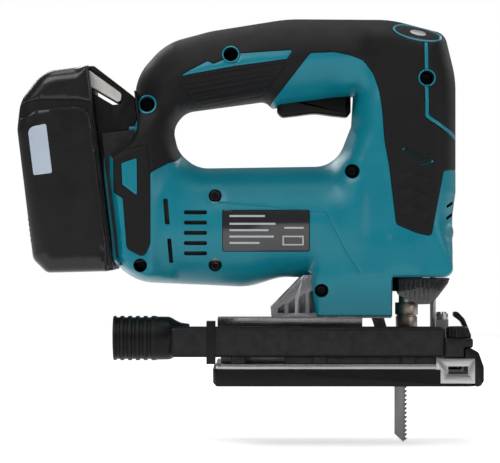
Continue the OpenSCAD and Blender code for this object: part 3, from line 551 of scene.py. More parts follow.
def groove(away, width, depth):
    """A rounded channel along a line."""
    return -depth * np.exp(-(away / width) ** 2)


def moulded_relief(points, look):
    """Ribs of the palm pad, chevrons of the head, panel lines and creases."""
    x, z = points[:, 0], points[:, 1]
    rise = np.zeros(len(points))
    pad = rounded(PAD)
    rim = distance(points, pad)
    rise += groove(rim, 0.45, 0.55)
    across = (z - 173) - (x + 98) * 0.17
    wave = 0.5 - 0.5 * np.cos(2 * math.pi * across / look.rib_pitch)
    rise -= np.where(inside(points, pad), look.rib_depth * wave ** 0.7 * step_up(rim, 0.8, 2.2), 0)
    off_middle = np.abs(x - CHEVRON_X)
    fade = 1 - step_up(off_middle, 6.2, 8.6)
    for level in CHEVRONS:
        peak = level - 0.36 * off_middle * step_up(off_middle, 0.5, 3)
        rise += 1.3 * (np.exp(-((z - peak) / 1.5) ** 2) * fade)
        rise -= 0.3 * np.exp(-((z - peak + 3) / 1.2) ** 2) * fade
    triangle = rounded(TRIANGLE)
    rise -= np.where(inside(points, triangle), 0.5 * step_up(distance(points, triangle), 0, 0.8), 0)
    rise += groove(distance(points, BAND_LINE, closed=False), 0.4, 0.6)
    rise += groove(distance(points, PANEL_LINE, closed=False), 0.35, 0.55)
    crease = x - 25
    rise += 0.7 * step_up(crease, -3, 0.4) * (1 - step_up(z, 86, 92)) * (z > 61) * (x < 64)
    bump = np.hypot(x + 38.5, z - 158.6)
    rise += 0.8 * (1 - step_up(bump, 1, 4))
    for hx, hz in ((-75.2, 107.6), (2.6, 121.6)):
        away = np.hypot(x - hx, z - hz)
        rise -= 0.6 * (1 - step_up(away, 4.2, 6.5))
    lamp = np.hypot((x - 62) / 7, (z - LAMP[2]) / 6)
    rise -= 4 * (1 - step_up(lamp, 0.55, 1.1))
    return rise


def pocket(build, outline, top, depth, side, tag=0, floor_tag=0, draft=0.0):
    """Walls and floor of a recess sunk from the housing's surface."""
    o = np.asarray(outline)
    rows = []
    for share in (0.0, 0.08, 1.0):
        ring_points = scaled(o, 1 - draft * share)
        level = top - (top - (top.min() - depth)) * share if share > 0.5 else top - depth * share
        rows.append([(p[0], side * y, p[1]) for p, y in zip(ring_points, level)])
    build.loops(rows, (False, False), tag)
    build.add(rows[-1], [tuple(range(len(o)))], floor_tag)


def housing_sheet(side, outline, hole, grip, inlays, holes, collars, fine):
    """The triangles of one side, cut along everything that shows on it."""
    rim, hole_rim = winding(outline), winding(hole)
    outlines = [(outline, [d * rim for d in BODY_RIM]), (hole, [-d * hole_rim for d in BODY_RIM]),
                (grip, (0.28, -0.28, 0.8, -0.8))]
    outlines += [(o, (0.25, -0.25, 0.7, -0.7)) for o in inlays]
    outlines += [(o, (0.25, -0.25, 0.8)) for o in holes + collars]
    outlines += [(o, PLAIN_OFFSETS) for o in fine]
    outlines.append((rounded(PAD, 0.6), (0.45, -0.45, 0.9, -0.9)))
    if side < 0:
        outlines.append((rounded(RATING, 0.5), PLAIN_OFFSETS))
    lines = [(PANEL_LINE, (0, 0.35, -0.35, 0.8, -0.8)), (BAND_LINE, (0, 0.35, -0.35, 0.8, -0.8)),
             (CREASE_LINE, (-3, -1.5, 0, 0.5))]
    chevrons = np.array([(27.5, 94), (46.5, 94), (46.5, 122.5), (27.5, 122.5)])
    return Sheet(outlines, lines, 1.7, [(rounded(PAD), 0.62), (chevrons, 0.7)])


def seam_lips(build, outline, hole, side):
    """The narrow lips where the two halves of the housing meet."""
    for line, sign in ((refine(outline, 1.1), winding(outline)), (refine(hole, 1.1), -winding(hole))):
        normal = sideways(line) * sign
        floor = cheek_floor(line)
        lip = [(p[0], side * max(0.22, f), p[1]) for p, f in zip(line, floor)]
        inner = [(p[0], side * max(0.0, f - 0.3), p[1]) for p, f in zip(line + normal * 0.4, floor)]
        # Tag 2 is the near-black finish: painted shadow in the parting line.
        build.loops([inner, lip], (False, False), 2)


def housing_side(side, look, surface):
    """One half of the housing: the hard shell with its inlays, and the soft grip."""
    outline, hole, grip = rounded(BODY), rounded(HAND), rounded(GRIP)
    x, z, a, b, tilt = BADGE
    badge, badge_in = oval(*BADGE), oval(x, z, a - 1.7, b - 1.5, tilt)
    inlays = [rounded(WEDGE, 0.6), rounded(CHEEK_INLAY, 0.6), rounded(HEAD_STRIP, 0.6), badge]
    triangle = rounded(TRIANGLE, 0.5)
    triangle_in = scaled(triangle, 0.86)
    slots = [rounded(s, 0.4) for s in SLOTS]
    screws = RING_SCREWS + DEEP_SCREWS if side < 0 else [LOCK_HOLE]
    holes = [ring(*s[:3]) for s in screws]
    collars = [ring(s[0], s[1], s[3]) for s in RING_SCREWS] if side < 0 else []
    fine = slots + [triangle, triangle_in, badge_in]
    sheet = housing_sheet(side, outline, hole, grip, inlays, holes, collars, fine)
    half, edge = surface(sheet.points)
    half = half + moulded_relief(sheet.points, look) * step_up(edge, 0.0, 2.0)
    c = sheet.centres
    solid = inside(c, outline) & ~inside(c, hole)
    for o in slots + holes + ([rounded(RATING, 0.5)] if side < 0 else []):
        solid &= ~inside(c, o)
    in_grip = inside(c, grip)
    hard = ~in_grip
    for o in inlays:
        hard |= inside(c, o)
    hard &= ~inside(c, badge_in)
    hard |= inside(c, triangle) & ~inside(c, triangle_in)
    for o in collars:
        hard |= inside(c, o)
    borders = [grip] + inlays + collars + [triangle, triangle_in, badge_in]
    away = np.min([distance(sheet.points, b) for b in borders], axis=0)
    soft_rise = look.grip_proud * round_in(away / 0.8)
    hard_rise = -0.45 * (1 - round_in(away / 0.35))
    for x, z, near, far, _ in RING_SCREWS if side < 0 else []:
        r = np.hypot(sheet.points[:, 0] - x, sheet.points[:, 1] - z)
        bead = 0.85 * round_in((0.6 - np.abs(r - (near + far) / 2)) / 0.6)
        hard_rise += np.where(r < far + 0.1, bead, 0)
    for o in inlays:
        hard_rise += np.where(inside(sheet.points, o), 0.45 * round_in(away / 0.7), 0)
    in_grip |= inside(c, badge_in)
    shell, soft = Build(), Build()
    for build, pick, rise in ((shell, hard & solid, hard_rise), (soft, in_grip & ~hard & solid, soft_rise)):
        y = (half + rise * step_up(edge, 0, 1.0)) * side
        verts = [(p[0], float(h), p[1]) for p, h in zip(sheet.points, y)]
        build.area(verts, sheet.triangles[pick], flip=side > 0)
    # The vent slots' walls and floors take the near-black second finish: painted shade inside the openings.
    for o in slots:
        line = refine(o, 1.1)
        pocket(shell, line, surface(line)[0] - 0.1, 2.6, side, 1, 1, 0.02)
    # The floor of each screw hole, and of the lock button's hole on the left side, takes the near-black
    # finish: painted shade at the bottom of the hole.
    for o, screw in zip(holes, screws):
        line = refine(o, 1.1)
        top = surface(line)[0] + moulded_relief(line, look) - 0.1
        pocket(shell, line, top, float(top.min() - screw[4]), side, 0, 1, 0.03)
    seam_lips(shell, outline, hole, side)
    return shell, soft


def channel_lining(side):
    """The walls that the battery's rails slide between."""
    build = Build()
    for (x0, near, z0), (x1, far, z1), edge in RAIL_WALLS:
        low, high = mirrored(side, near, far)
        build.block((x0, low, z0), (x1, high, z1), edge, 0, on_rails)
    return build


# ---- finishes ----
def effect(name, inputs, outputs):
    """A shader node group with its sockets and its two end nodes."""
    tree = bpy.data.node_groups.new(name, "ShaderNodeTree")
    for label, kind, value in inputs:
        socket = tree.interface.new_socket(name=label, in_out="INPUT", socket_type=kind)
        if value is not None:
            socket.default_value = value
    for label, kind in outputs:
        tree.interface.new_socket(name=label, in_out="OUTPUT", socket_type=kind)
    return tree, tree.nodes.new("NodeGroupInput"), tree.nodes.new("NodeGroupOutput")


def moulded_grain():
    """Fine mould texture: small rounded bumps over a slow waviness."""
    tree, start, end = effect("Moulded grain", [("Vector", "NodeSocketVector", None),
                              ("Scale", "NodeSocketFloat", 1500.0)], [("Height", "NodeSocketFloat")])
    node, link = tree.nodes.new, tree.links.new
    noise, cells, both = node("ShaderNodeTexNoise"), node("ShaderNodeTexVoronoi"), node("ShaderNodeMath")
    noise.inputs["Detail"].default_value = 4
    cells.feature = "SMOOTH_F1"
    for texture in (noise, cells):
        link(start.outputs["Vector"], texture.inputs["Vector"])
        link(start.outputs["Scale"], texture.inputs["Scale"])
    both.operation = "SUBTRACT"
    link(noise.outputs["Fac"], both.inputs[0])
    link(cells.outputs["Distance"], both.inputs[1])
    link(both.outputs[0], end.inputs["Height"])
    return tree


def uneven_tone():
    """Colour that drifts slightly lighter and darker over the surface."""
    tree, start, end = effect("Uneven tone", [("Color", "NodeSocketColor", None),
                              ("Vector", "NodeSocketVector", None), ("Scale", "NodeSocketFloat", 40.0),
                              ("Amount", "NodeSocketFloat", 0.15)],
                              [("Color", "NodeSocketColor"), ("Drift", "NodeSocketFloat")])
    node, link = tree.nodes.new, tree.links.new
    noise, span, mix = node("ShaderNodeTexNoise"), node("ShaderNodeMath"), node("ShaderNodeMix")
    noise.inputs["Detail"].default_value = 6
    noise.inputs["Roughness"].default_value = 0.62
    link(start.outputs["Vector"], noise.inputs["Vector"])
    link(start.outputs["Scale"], noise.inputs["Scale"])
    span.operation = "MULTIPLY"
    link(noise.outputs["Fac"], span.inputs[0])
    link(start.outputs["Amount"], span.inputs[1])
    mix.data_type = "RGBA"
    mix.blend_type = "SCREEN"
    link(span.outputs[0], mix.inputs["Factor"])
    link(start.outputs["Color"], mix.inputs["A"])
    link(start.outputs["Color"], mix.inputs["B"])
    link(mix.outputs["Result"], end.inputs["Color"])
    link(noise.outputs["Fac"], end.inputs["Drift"])
    return tree


def edge_wear():
    """A broken mask along raised edges, and the colour with it rubbed lighter."""
    tree, start, end = effect("Edge wear", [("Color", "NodeSocketColor", None),
                              ("Worn", "NodeSocketColor", None), ("Edge", "NodeSocketFloat", 0.5),
                              ("Vector", "NodeSocketVector", None),
                              ("Amount", "NodeSocketFloat", 0.3)],
                              [("Color", "NodeSocketColor"), ("Mask", "NodeSocketFloat")])
    node, link = tree.nodes.new, tree.links.new
    span, noise, patchy = node("ShaderNodeMapRange"), node("ShaderNodeTexNoise"), node("ShaderNodeMath")
    strength, mix = node("ShaderNodeMath"), node("ShaderNodeMix")
    span.inputs["From Min"].default_value = 0.53
    span.inputs["From Max"].default_value = 0.66
    link(start.outputs["Edge"], span.inputs["Value"])
    noise.inputs["Scale"].default_value = 220
    noise.inputs["Detail"].default_value = 5
    link(start.outputs["Vector"], noise.inputs["Vector"])
    patchy.operation = strength.operation = "MULTIPLY"
    link(span.outputs["Result"], patchy.inputs[0])
    link(noise.outputs["Fac"], patchy.inputs[1])
    link(patchy.outputs[0], strength.inputs[0])
    link(start.outputs["Amount"], strength.inputs[1])
    mix.data_type = "RGBA"
    link(strength.outputs[0], mix.inputs["Factor"])
    link(start.outputs["Color"], mix.inputs["A"])
    link(start.outputs["Worn"], mix.inputs["B"])
    link(mix.outputs["Result"], end.inputs["Color"])
    link(strength.outputs[0], end.inputs["Mask"])
    return tree


EFFECTS = {}
FINISHES = {}
# Sockets of the plastics that hardly mirror the lamps
DULL = (("Specular IOR Level", 0.12),)


def finish(name, colour, rough, metal=0.0, grain=1600.0, depth=0.05, tone=0.3, wear=0.3, worn=None,
           spread=0.14, stretch=(1, 1, 1), sockets=()):
    """A finish from the shared effects, each with this finish's own values."""
    if name in FINISHES:
        return FINISHES[name]
    if not EFFECTS:
        EFFECTS.update(grain=moulded_grain(), tone=uneven_tone(), wear=edge_wear())
    material = bpy.data.materials.new(name)
    material.use_nodes = True
    tree = material.node_tree
    node, link = tree.nodes.new, tree.links.new
    shader = tree.nodes["Principled BSDF"]
    place, mapping = node("ShaderNodeTexCoord"), node("ShaderNodeMapping")
    shape = node("ShaderNodeNewGeometry")
    mapping.inputs["Scale"].default_value = stretch
    link(place.outputs["Object"], mapping.inputs["Vector"])
    groups = {}
    for key in ("grain", "tone", "wear"):
        groups[key] = node("ShaderNodeGroup")
        groups[key].node_tree = EFFECTS[key]
        link(mapping.outputs["Vector"], groups[key].inputs["Vector"])
    groups["grain"].inputs["Scale"].default_value = grain
    groups["tone"].inputs["Color"].default_value = (*colour, 1)
    groups["tone"].inputs["Scale"].default_value = 70
    groups["tone"].inputs["Amount"].default_value = tone
    groups["wear"].inputs["Worn"].default_value = (*(worn or [min(1, c * 2 + 0.08) for c in colour]), 1)
    groups["wear"].inputs["Amount"].default_value = wear
    link(groups["tone"].outputs["Color"], groups["wear"].inputs["Color"])
    link(shape.outputs["Pointiness"], groups["wear"].inputs["Edge"])
    link(groups["wear"].outputs["Color"], shader.inputs["Base Color"])
    gloss = node("ShaderNodeMapRange")
    gloss.inputs["From Min"].default_value = 0.3
    gloss.inputs["From Max"].default_value = 0.7
    gloss.inputs["To Min"].default_value = rough - spread / 2
    gloss.inputs["To Max"].default_value = rough + spread / 2
    link(groups["tone"].outputs["Drift"], gloss.inputs["Value"])
    link(gloss.outputs["Result"], shader.inputs["Roughness"])
    bump = node("ShaderNodeBump")
    bump.inputs["Strength"].default_value = depth * 10
    bump.inputs["Distance"].default_value = 0.0001
    link(groups["grain"].outputs["Height"], bump.inputs["Height"])
    link(bump.outputs["Normal"], shader.inputs["Normal"])
    shader.inputs["Metallic"].default_value = metal
    for label, value in sockets:
        shader.inputs[label].default_value = value
    material.diffuse_color = (*colour, 1)
    FINISHES[name] = material
    return material


def finishes(look):
    """Every finish of the tool."""
    finish("teal_shell", look.shell_colour[:], 0.36, grain=1500, depth=0.035, tone=0.3, wear=0.3,
           sockets=(("Specular IOR Level", 0.28),))
    finish("soft_black", look.grip_colour[:], 0.58, grain=2600, depth=0.09, tone=0.5, wear=0.25,
           worn=(0.05, 0.05, 0.052), sockets=DULL)
    finish("satin_black", look.black_colour[:], 0.38, grain=2000, depth=0.05, tone=0.5, wear=0.3,
           worn=(0.07, 0.07, 0.075), sockets=DULL)
    finish("battery_black", (0.006, 0.006, 0.0065), 0.3, grain=2400, depth=0.02, tone=0.3, wear=0.2,
           worn=(0.06, 0.06, 0.065), sockets=(("Specular IOR Level", 0.25), ("Coat Weight", 0.15),
                                              ("Coat Roughness", 0.12)))
    finish("gloss_black", (0.008, 0.008, 0.009), 0.2, grain=900, depth=0.012, tone=0.4, wear=0.1, spread=0.1,
           sockets=(("Coat Weight", 0.4), ("Coat Roughness", 0.08)))
    # Near-black and matte: painted shade in the vent slots, the screw holes and the guide slot's far end,
    # painted shadow on the seam lips, and the plain black of the battery's rear ribs.
    finish("deep_black", (0.006, 0.006, 0.007), 0.7, tone=0.3, wear=0.0)
    finish("cast_alloy", (0.14, 0.14, 0.145), 0.42, 0.85, grain=1100, depth=0.12, tone=0.4, wear=0.7,
           worn=(0.75, 0.75, 0.76))
    finish("bright_plate", look.metal_colour[:], 0.27, 1.0, grain=900, depth=0.03, tone=0.3, wear=0.5,
           worn=(0.9, 0.9, 0.9), stretch=(0.08, 1, 1))
    finish("ground_steel", (0.24, 0.235, 0.23), 0.34, 1.0, grain=1500, depth=0.05, tone=0.4, wear=0.5,
           worn=(0.8, 0.8, 0.8), stretch=(1, 1, 0.1))
    finish("blade_steel", (0.11, 0.1, 0.098), 0.4, 0.85, grain=1800, depth=0.06, tone=0.5, wear=0.8,
           worn=(0.7, 0.7, 0.7), stretch=(1, 1, 0.12))
    finish("warm_steel", (0.24, 0.2, 0.17), 0.35, 1.0, grain=1400, depth=0.08, tone=0.5, wear=0.6,
           worn=(0.75, 0.7, 0.62))
    finish("button_silver", look.button_colour[:], 0.38, 0.25, grain=2300, depth=0.03, tone=0.25, wear=0.2)
    finish("badge_pale", (0.24, 0.25, 0.26), 0.36, 0.3, tone=0.2, wear=0.2)
    finish("print_grey", (0.3, 0.31, 0.32), 0.5, tone=0.3, wear=0.0)
    finish("stripe_blue", (0.3, 0.35, 0.42), 0.42, tone=0.3, wear=0.1)
    finish("smoked", (0.012, 0.012, 0.013), 0.16, tone=0.3, wear=0.1, depth=0.02,
           sockets=(("Alpha", 0.86), ("Coat Weight", 0.5)))
    finish("lens_clear", (0.8, 0.82, 0.8), 0.08, tone=0.1, wear=0.0, depth=0.01,
           sockets=(("Transmission Weight", 0.85), ("IOR", 1.45)))
    finish("guard_white", (0.62, 0.61, 0.58), 0.45, tone=0.2, wear=0.2)
    finish("coil_copper", (0.6, 0.25, 0.1), 0.35, 1.0, grain=900, depth=0.2, tone=0.4, wear=0.4,
           stretch=(3, 0.3, 0.3))
    finish("bush_bronze", (0.5, 0.3, 0.12), 0.35, 1.0, tone=0.4, wear=0.5)
    finish("core_steel", (0.16, 0.16, 0.17), 0.45, 0.8, grain=2000, depth=0.15, tone=0.4, wear=0.5,
           stretch=(1.4, 0.05, 0.05))
    finish("board_green", (0.015, 0.09, 0.04), 0.35, tone=0.5, wear=0.3)
    finish("cell_wrap", (0.02, 0.09, 0.2), 0.4, tone=0.3, wear=0.3)


SLOT_FINISH = {
    "teal_plastic": "teal_shell", "soft_grip": "soft_black", "black_plastic": "satin_black",
    "badge_grey": "badge_pale", "plate_print": "gloss_black", "black_screws": "satin_black",
    "cast_aluminium": "cast_alloy", "plate_steel": "bright_plate", "machined_steel": "ground_steel",
    "rotor_steel": "core_steel", "copper": "coil_copper", "bronze": "bush_bronze",
    "circuit_board": "board_green", "lamp_clear": "lens_clear", "smoked_clear": "smoked",
    "cell_wrap": "cell_wrap", "label_grey": "stripe_blue",
    "button_grey": "button_silver", "guard_white": "guard_white", "knob_black": "satin_black"}


# ---- pieces; every builder takes the settings, because the operators call them all alike ----
def build_housing(look):
    """Both halves of the shell with their soft grips and the walls beside the battery's rails."""
    surface = Surface()
    for side, label in ((-1, "right"), (1, "left")):
        hard, soft = housing_side(side, look, surface)
        lining = channel_lining(side)
        shell, grip, channel = "shell_" + label, "soft_grip_" + label, "rail_channel_" + label
        # The second finish is painted shade in the vent slots and screw holes; the third is painted shadow on
        # the seam lips.
        skins = ("teal_shell", "deep_black", "deep_black")
        keep(shell, hard.mesh_plain(shell), skins, "housing", ["housing_" + label])
        keep(grip, soft.mesh_plain(grip), "soft_black", "housing", ["grip_" + label])
        keep(channel, lining, "satin_black", "housing")


def build_plate(look):
    """Rating plate on the barrel with plain printed bars, no lettering."""
    surface = Surface()
    outline = scaled(rounded(RATING, 0.4), 0.992)
    boxes = [(-67, z, -67 + length, z + 1.1) for z, length in ((95.6, 20), (91.2, 26), (87.6, 22), (84, 25),
                                                               (80.4, 17))]
    # The seventh box is the clear middle of the sixth
    boxes += [(-37, 79.5, -25, 85), (-36.2, 80.3, -25.8, 84.2), (-36, 89, -25, 90)]
    bars = [np.array([(x0, z0), (x1, z0), (x1, z1), (x0, z1)], float) for x0, z0, x1, z1 in boxes]
    sheet = Sheet([(outline, (0.3, -0.3, 0.7, -0.7))] + [(b, ()) for b in bars], (), 1.2)
    half, _ = surface(sheet.points)
    pick = inside(sheet.centres, outline)
    rise = 0.35 * round_in(distance(sheet.points, outline) / 0.4) - 0.2
    tags = np.zeros(len(sheet.triangles), int)
    for k, b in enumerate(bars):
        tags[inside(sheet.centres, b)] = 0 if k == 6 else 1
    build = Build()
    verts = [(p[0], -h, p[1]) for p, h in zip(sheet.points, half + rise)]
    for tag in (0, 1):
        build.area(verts, sheet.triangles[pick & (tags == tag)], tag)
    skins = ["gloss_black", "print_grey"]
    keep("rating_plate_face", build.mesh_plain("rating_plate_face"), skins, "housing", ["rating_plate"])


def build_screws(look):
    """Screws with a six-lobed recess in each hole of the right shell."""

    def lobes(_, w, r):
        return 0.22 * math.cos(6 * w) if 1 < r < 1.75 else 0

    build = Build()
    for x, z, _, _, seat in RING_SCREWS + DEEP_SCREWS:
        top = -seat - 2.6
        profile = [(top + 1.5, 0.0), (top + 1.5, 1.5), (top + 0.1, 1.6), (top, 1.9), (top, 2.6),
                   (top + 0.4, 3.2), (top + 1.0, 3.4), (-seat, 3.4), (-seat, 2.0), (-seat + 6, 2.0),
                   (-seat + 6, 0)]
        build.lathe(profile, "y", (x, 0, z), 36, bumps=lobes)
    keep("case_screws", build, "satin_black", "housing", ["housing_screws"])


def build_badge(look):
    """The oval badge on both sloping sides of the head: a dark field with a plain pale dome."""
    surface = Surface()
    field, dome = Build(), Build()
    x, z, a, b, tilt = BADGE
    for side in (-1, 1):
        for build, ahead, long, tall, rise, rim in ((field, 0, 0.86, 0.86 - 0.12, 0.35, 0.5),
                                                    (dome, 0.4, 0.34, 0.34 + 0.06, 0.9, 1.6)):
            edge_line = oval(x + ahead, z, a * long, b * tall, tilt)
            sheet = Sheet([(edge_line, (0.25, -0.25, 0.6, -0.6, 1.0, -1.0))], (), 0.8)
            half, _ = surface(sheet.points)
            lift = rise * round_in(distance(sheet.points, edge_line) / rim)
            build.area([(p[0], side * (h + r), p[1]) for p, h, r in zip(sheet.points, half, lift)],
                       sheet.triangles[inside(sheet.centres, edge_line)], flip=side > 0)
    keep("badge_field", field.mesh_plain("badge_field"), "gloss_black", "housing", ["badge_plate"])
    keep("badge_dome", dome.mesh_plain("badge_dome"), "badge_pale", "housing", ["badge_emblem"])


def build_front(look):
    """Lamp, wire guard, tool-free opener, chip cover and lock button."""
    lens = Build()
    lens.lathe([(57.8, 0.0), (57.8, 3.7), (60.6, 3.9), (61.2, 3.6), (61.9, 2.6), (62.1, 1.2), (62.15, 0)],
               "x", LAMP, 32)
    keep("lamp_window", lens, "lens_clear", "housing", ["lamp_lens"])
    wire = Build()
    path = [(50.3, -8, 71), (50.3, -8, 60), (50.3, -8, 31.5)]
    path += [(50.3, -8 + 2.5 * (1 - math.cos(a)), 31.5 - 2.5 * math.sin(a)) for a in (0.4, 0.8, 1.2, 1.57)]
    path += [(50.3, -y, z) for _, y, z in reversed(path)]
    rings = []
    for k, p in enumerate(path):
        a, b = np.array(path[max(k - 1, 0)]), np.array(path[min(k + 1, len(path) - 1)])
        along = (b - a) / np.linalg.norm(b - a)
        out = np.cross(along, (1, 0, 0))
        rings.append([tuple(np.array(p) + 1.1 * (math.cos(w) * np.array((1, 0, 0)) + math.sin(w) * out))
                      for w in np.arange(16) * math.pi / 8])
    wire.loops(rings)
    keep("guard_wire", wire, "ground_steel", "housing", ["wire_guard"])
    keep("opener_ring", crisp("tool_opener", 0.4, 3), "satin_black", "opener", ["tool_opener"])
    cover = Build()
    cover.add(*as_lists(crisp("dust_cover", 0.35, 2)))
    for side in (-1, 1):
        for k in range(6):
            x = 33.5 + 2.6 * k
            low, high = mirrored(side, 11.2, 11.75)
            cover.block((x, low, 49.5 - 0.4 * k), (x + 1.1, high, 59.6), 0.25)
    keep("chip_cover", cover, "smoked", "cover", ["dust_cover"])
    lock = Build()
    lock.lathe([(12, 0), (12, 6.3), (13.5, 6.3), (13.6, 5), (19, 5), (19.9, 4.8), (20.4, 4.2), (20.3, 3.2),
                (19.9, 1.6), (19.8, 0)], "y", LOCK, 36)
    keep("lock_cap", lock, "satin_black", "lock", ["lock_button"])


def as_lists(mesh):
    """Points in millimetres and faces of a finished mesh."""
    return [tuple(c / MM for c in v.co) for v in mesh.vertices], [tuple(p.vertices) for p in mesh.polygons]


def build_controls(look):
    """Trigger paddle with its stem, and the orbit lever with its pointer."""
    trigger = Build()
    outline = rounded([(-39.8, 166, 1), (-39.8, 156, 3), (-37.2, 153, 3), (-28, 154, 14), (-18.6, 155.4, 30),
                       (-8, 153.9, 14), (0.6, 153, 2), (2.6, 156, 2), (2.6, 166, 1), (-18, 166, 0)], 0.6)
    trigger.slab(outline, -8, 8, 2.4)
    trigger.slab(rounded([(-28, 160, 1), (-14, 160, 1), (-14, 177.4, 1), (-28, 177.4, 1)]), -4, 4, 0.6)
    keep("trigger_paddle", trigger, "satin_black", "trigger_body", ["trigger"])
    lever = Build()
    lever.lathe([(22.5, 0), (22.5, 3), (26.2, 3), (26.25, 9.2), (26.7, 9.5), (28.4, 9.5), (28.9, 9.0),
                 (29, 0)], "y", (0, 0, 50), 44,
                bumps=lambda _, w, r: 0.25 * math.cos(22 * w) if r > 9.3 else 0)
    lever.slab(rounded([(-2.6, 43, 1.5), (-2, 60, 1.5), (2, 60, 1.5), (2.6, 43, 1.5)], 0.4), 28.4, 33, 0.8)
    keep("orbit_pointer", lever, "satin_black", "orbit_control", ["orbit_lever"])


def build_drive(look):
    """Castings and steel parts near the blade."""
    for node, name, body, bevel, kind, slot in (
            ("gear_case", "gear_casting", "housing", 0.6, "cast_alloy", "cast_aluminium"),
            ("blade_holder", "blade_clamp", "plunger", 0.4, "warm_steel", "machined_steel"),
            ("blade", "saw_blade", "plunger", 0.12, "blade_steel", "machined_steel"),
            ("roller_arm", "roller_fork", "arm", 0.35, "cast_alloy", "cast_aluminium"),
            ("roller", "guide_roller", "roller_wheel", 0.25, "ground_steel", "machined_steel")):
        keep(name, crisp(node, bevel, 2), kind, body, [node])


def build_base(look):
    """Sole, skid, bevel parts and clamps, and the stop in the far end of the guide slot."""
    for node, name, body, bevel, kind, slot in (
            ("sole_plate", "sole_metal", "base", 0.5, "bright_plate", "plate_steel"),
            ("sole_cover", "sole_skid", "base", 0.6, "satin_black", "black_plastic"),
            ("base_bracket", "bevel_arch", "base", 0.4, "cast_alloy", "cast_aluminium"),
            ("base_saddle", "bevel_saddle", "saddle", 0.5, "bright_plate", "plate_steel"),
            ("splinter_guard", "splinter_insert", "base", 0.2, "guard_white", "guard_white"),
            ("guide_clamp", "guide_screw", "base", 0.3, "ground_steel", "machined_steel"),
            ("nozzle_clip", "nozzle_strap", "base", 0.5, "satin_black", "black_plastic")):
        keep(name, crisp(node, bevel, 2), kind, body, [node])
    # Painted shade: a near-black block that darkens the far end of the guide slot.
    slot_shade = Build()
    slot_shade.block((56.4, 33.6, 7.2), (67.4, 37.2, 11.3), 0.3)
    keep("guide_slot_shade", slot_shade, "deep_black", "base")


def build_nozzle(look):
    """Suction duct with its ribbed hose cuff and front strap, and the thumb knob."""
    build = Build()
    build.block((-100.5, -37.6, 16.4), (54.6, -24, 33.5), 2.2)
    profile = [(-101, 0.0), (-101, 10.4), (-132.4, 10.5), (-133, 11), (-133, 12.2), (-132.7, 12.6)]
    for k in range(5):
        x = -131.4 + 4.4 * k
        profile += [(x, 12.7), (x + 0.5, 11.9), (x + 2.1, 11.9), (x + 2.6, 12.7)]
    profile += [(-108.6, 12.7), (-108.2, 12.3), (-101.5, 12.2), (-100.2, 11.8), (-97.5, 10.2), (-94.6, 8.8),
                (-90, 8.2), (-88, 0)]
    build.lathe(profile, "x", CUFF, 56)
    build.block((54, -37.8, 16), (65.8, -22, 27.2), 1.6)
    build.block((64.4, -37.8, 21.7), (70.4, -22, 27.2), 1.4)
    strap = [(60.6, 41.6, 1), (63, 41.6, 1), (66.8, 37.6, 6), (70.4, 28.6, 4), (70.4, 22, 0), (68, 22, 0),
             (68, 28, 4), (64.8, 36, 6), (60.6, 39, 1)]
    build.slab(rounded(strap, 0.6), -23.8, -12.6, 0.6)
    for x in (-66, -20, 30):
        build.block((x, -37, 12.5), (x + 8, -26, 17), 0.8)
    build.block((-36, -35.6, 12.5), (50, -33.6, 17), 0.6)
    for x in (-88, -48, 2):
        build.block((x, -37.75, 17.6), (x + 1.2, -37.3, 32.4), 0.2)
    keep("suction_duct", build, "satin_black", "base", ["dust_nozzle"])
    knob = Build()
    knob.lathe([(27.4, 0), (27.4, 5.8), (27.9, 6.3), (32.6, 6.3), (33.4, 5.7), (33.7, 4.9), (33.5, 3.4),
                (33.5, 0)], "z", KNOB, 72,
               bumps=lambda _, w, r: 0.35 * math.cos(18 * w) - 0.2 if r > 5.75 else 0)
    knob.lathe([(11.5, 0), (11.5, 2), (27.6, 2), (27.6, 0)], "z", KNOB, 28, tag=1)
    keep("nozzle_thumb_knob", knob, ["satin_black", "ground_steel"], "knob", ["nozzle_knob"])


def battery_half(points, case):
    """Half width of the battery case, and how far each point is from its outline."""
    edge = distance(points, case)
    corner = 2.2 + 5.8 * step_up(-points[:, 0], 0.5, 9)
    return CASE_HALF - corner + corner * round_in(edge / corner), edge


def build_battery_shell(case):
    """The battery case: two raised sides, a skin between them, and ribs at its rear."""
    panel, band = rounded(CASE_PANEL), rounded(CASE_BAND)
    turn = winding(case)
    sheet = Sheet([(case, [d * turn for d in RIM]), (panel, (0.35, -0.35, 0.8, -0.8)),
                   (band, (0.35, -0.35, 0.8, -0.8))], (), 2.0)
    half, edge = battery_half(sheet.points, case)
    raised = np.zeros(len(half))
    for region in (panel, band):
        raised += np.where(inside(sheet.points, region), round_in(distance(sheet.points, region) / 1.5), 0)
    inner = scaled(panel, 0.9)
    raised += groove(distance(sheet.points, inner), 0.5, 0.35) * inside(sheet.points, panel)
    half += (1.5 * raised - 1.5) * step_up(edge, 0.3, 1.5)
    pick = inside(sheet.centres, case)
    build = Build()
    for side in (-1, 1):
        verts = [on_rails((p[0], side * h, p[1])) for p, h in zip(sheet.points, half)]
        build.area(verts, sheet.triangles[pick], flip=side > 0)
    line = refine(case, 1.1)
    line_half, _ = battery_half(line, case)
    rows = [[on_rails((p[0], share * h, p[1])) for p, h in zip(line, line_half)]
            for share in np.linspace(-1, 1, 13)]
    build.loops(rows, (False, False), flip=turn < 0)
    for side in (-1, 1):
        low, high = mirrored(side, 22, 29)
        for z in range(6, 21, 3):
            build.block((-45.85, low, z), (-45.2, high, z + 1.4), 0.25, 1, on_rails)
    mesh = build.mesh("battery_shell")
    work = bmesh.new()
    work.from_mesh(mesh)
    bmesh.ops.remove_doubles(work, verts=work.verts, dist=0.00002)
    bmesh.ops.recalc_face_normals(work, faces=work.faces)
    work.to_mesh(mesh)
    work.free()
    return mesh


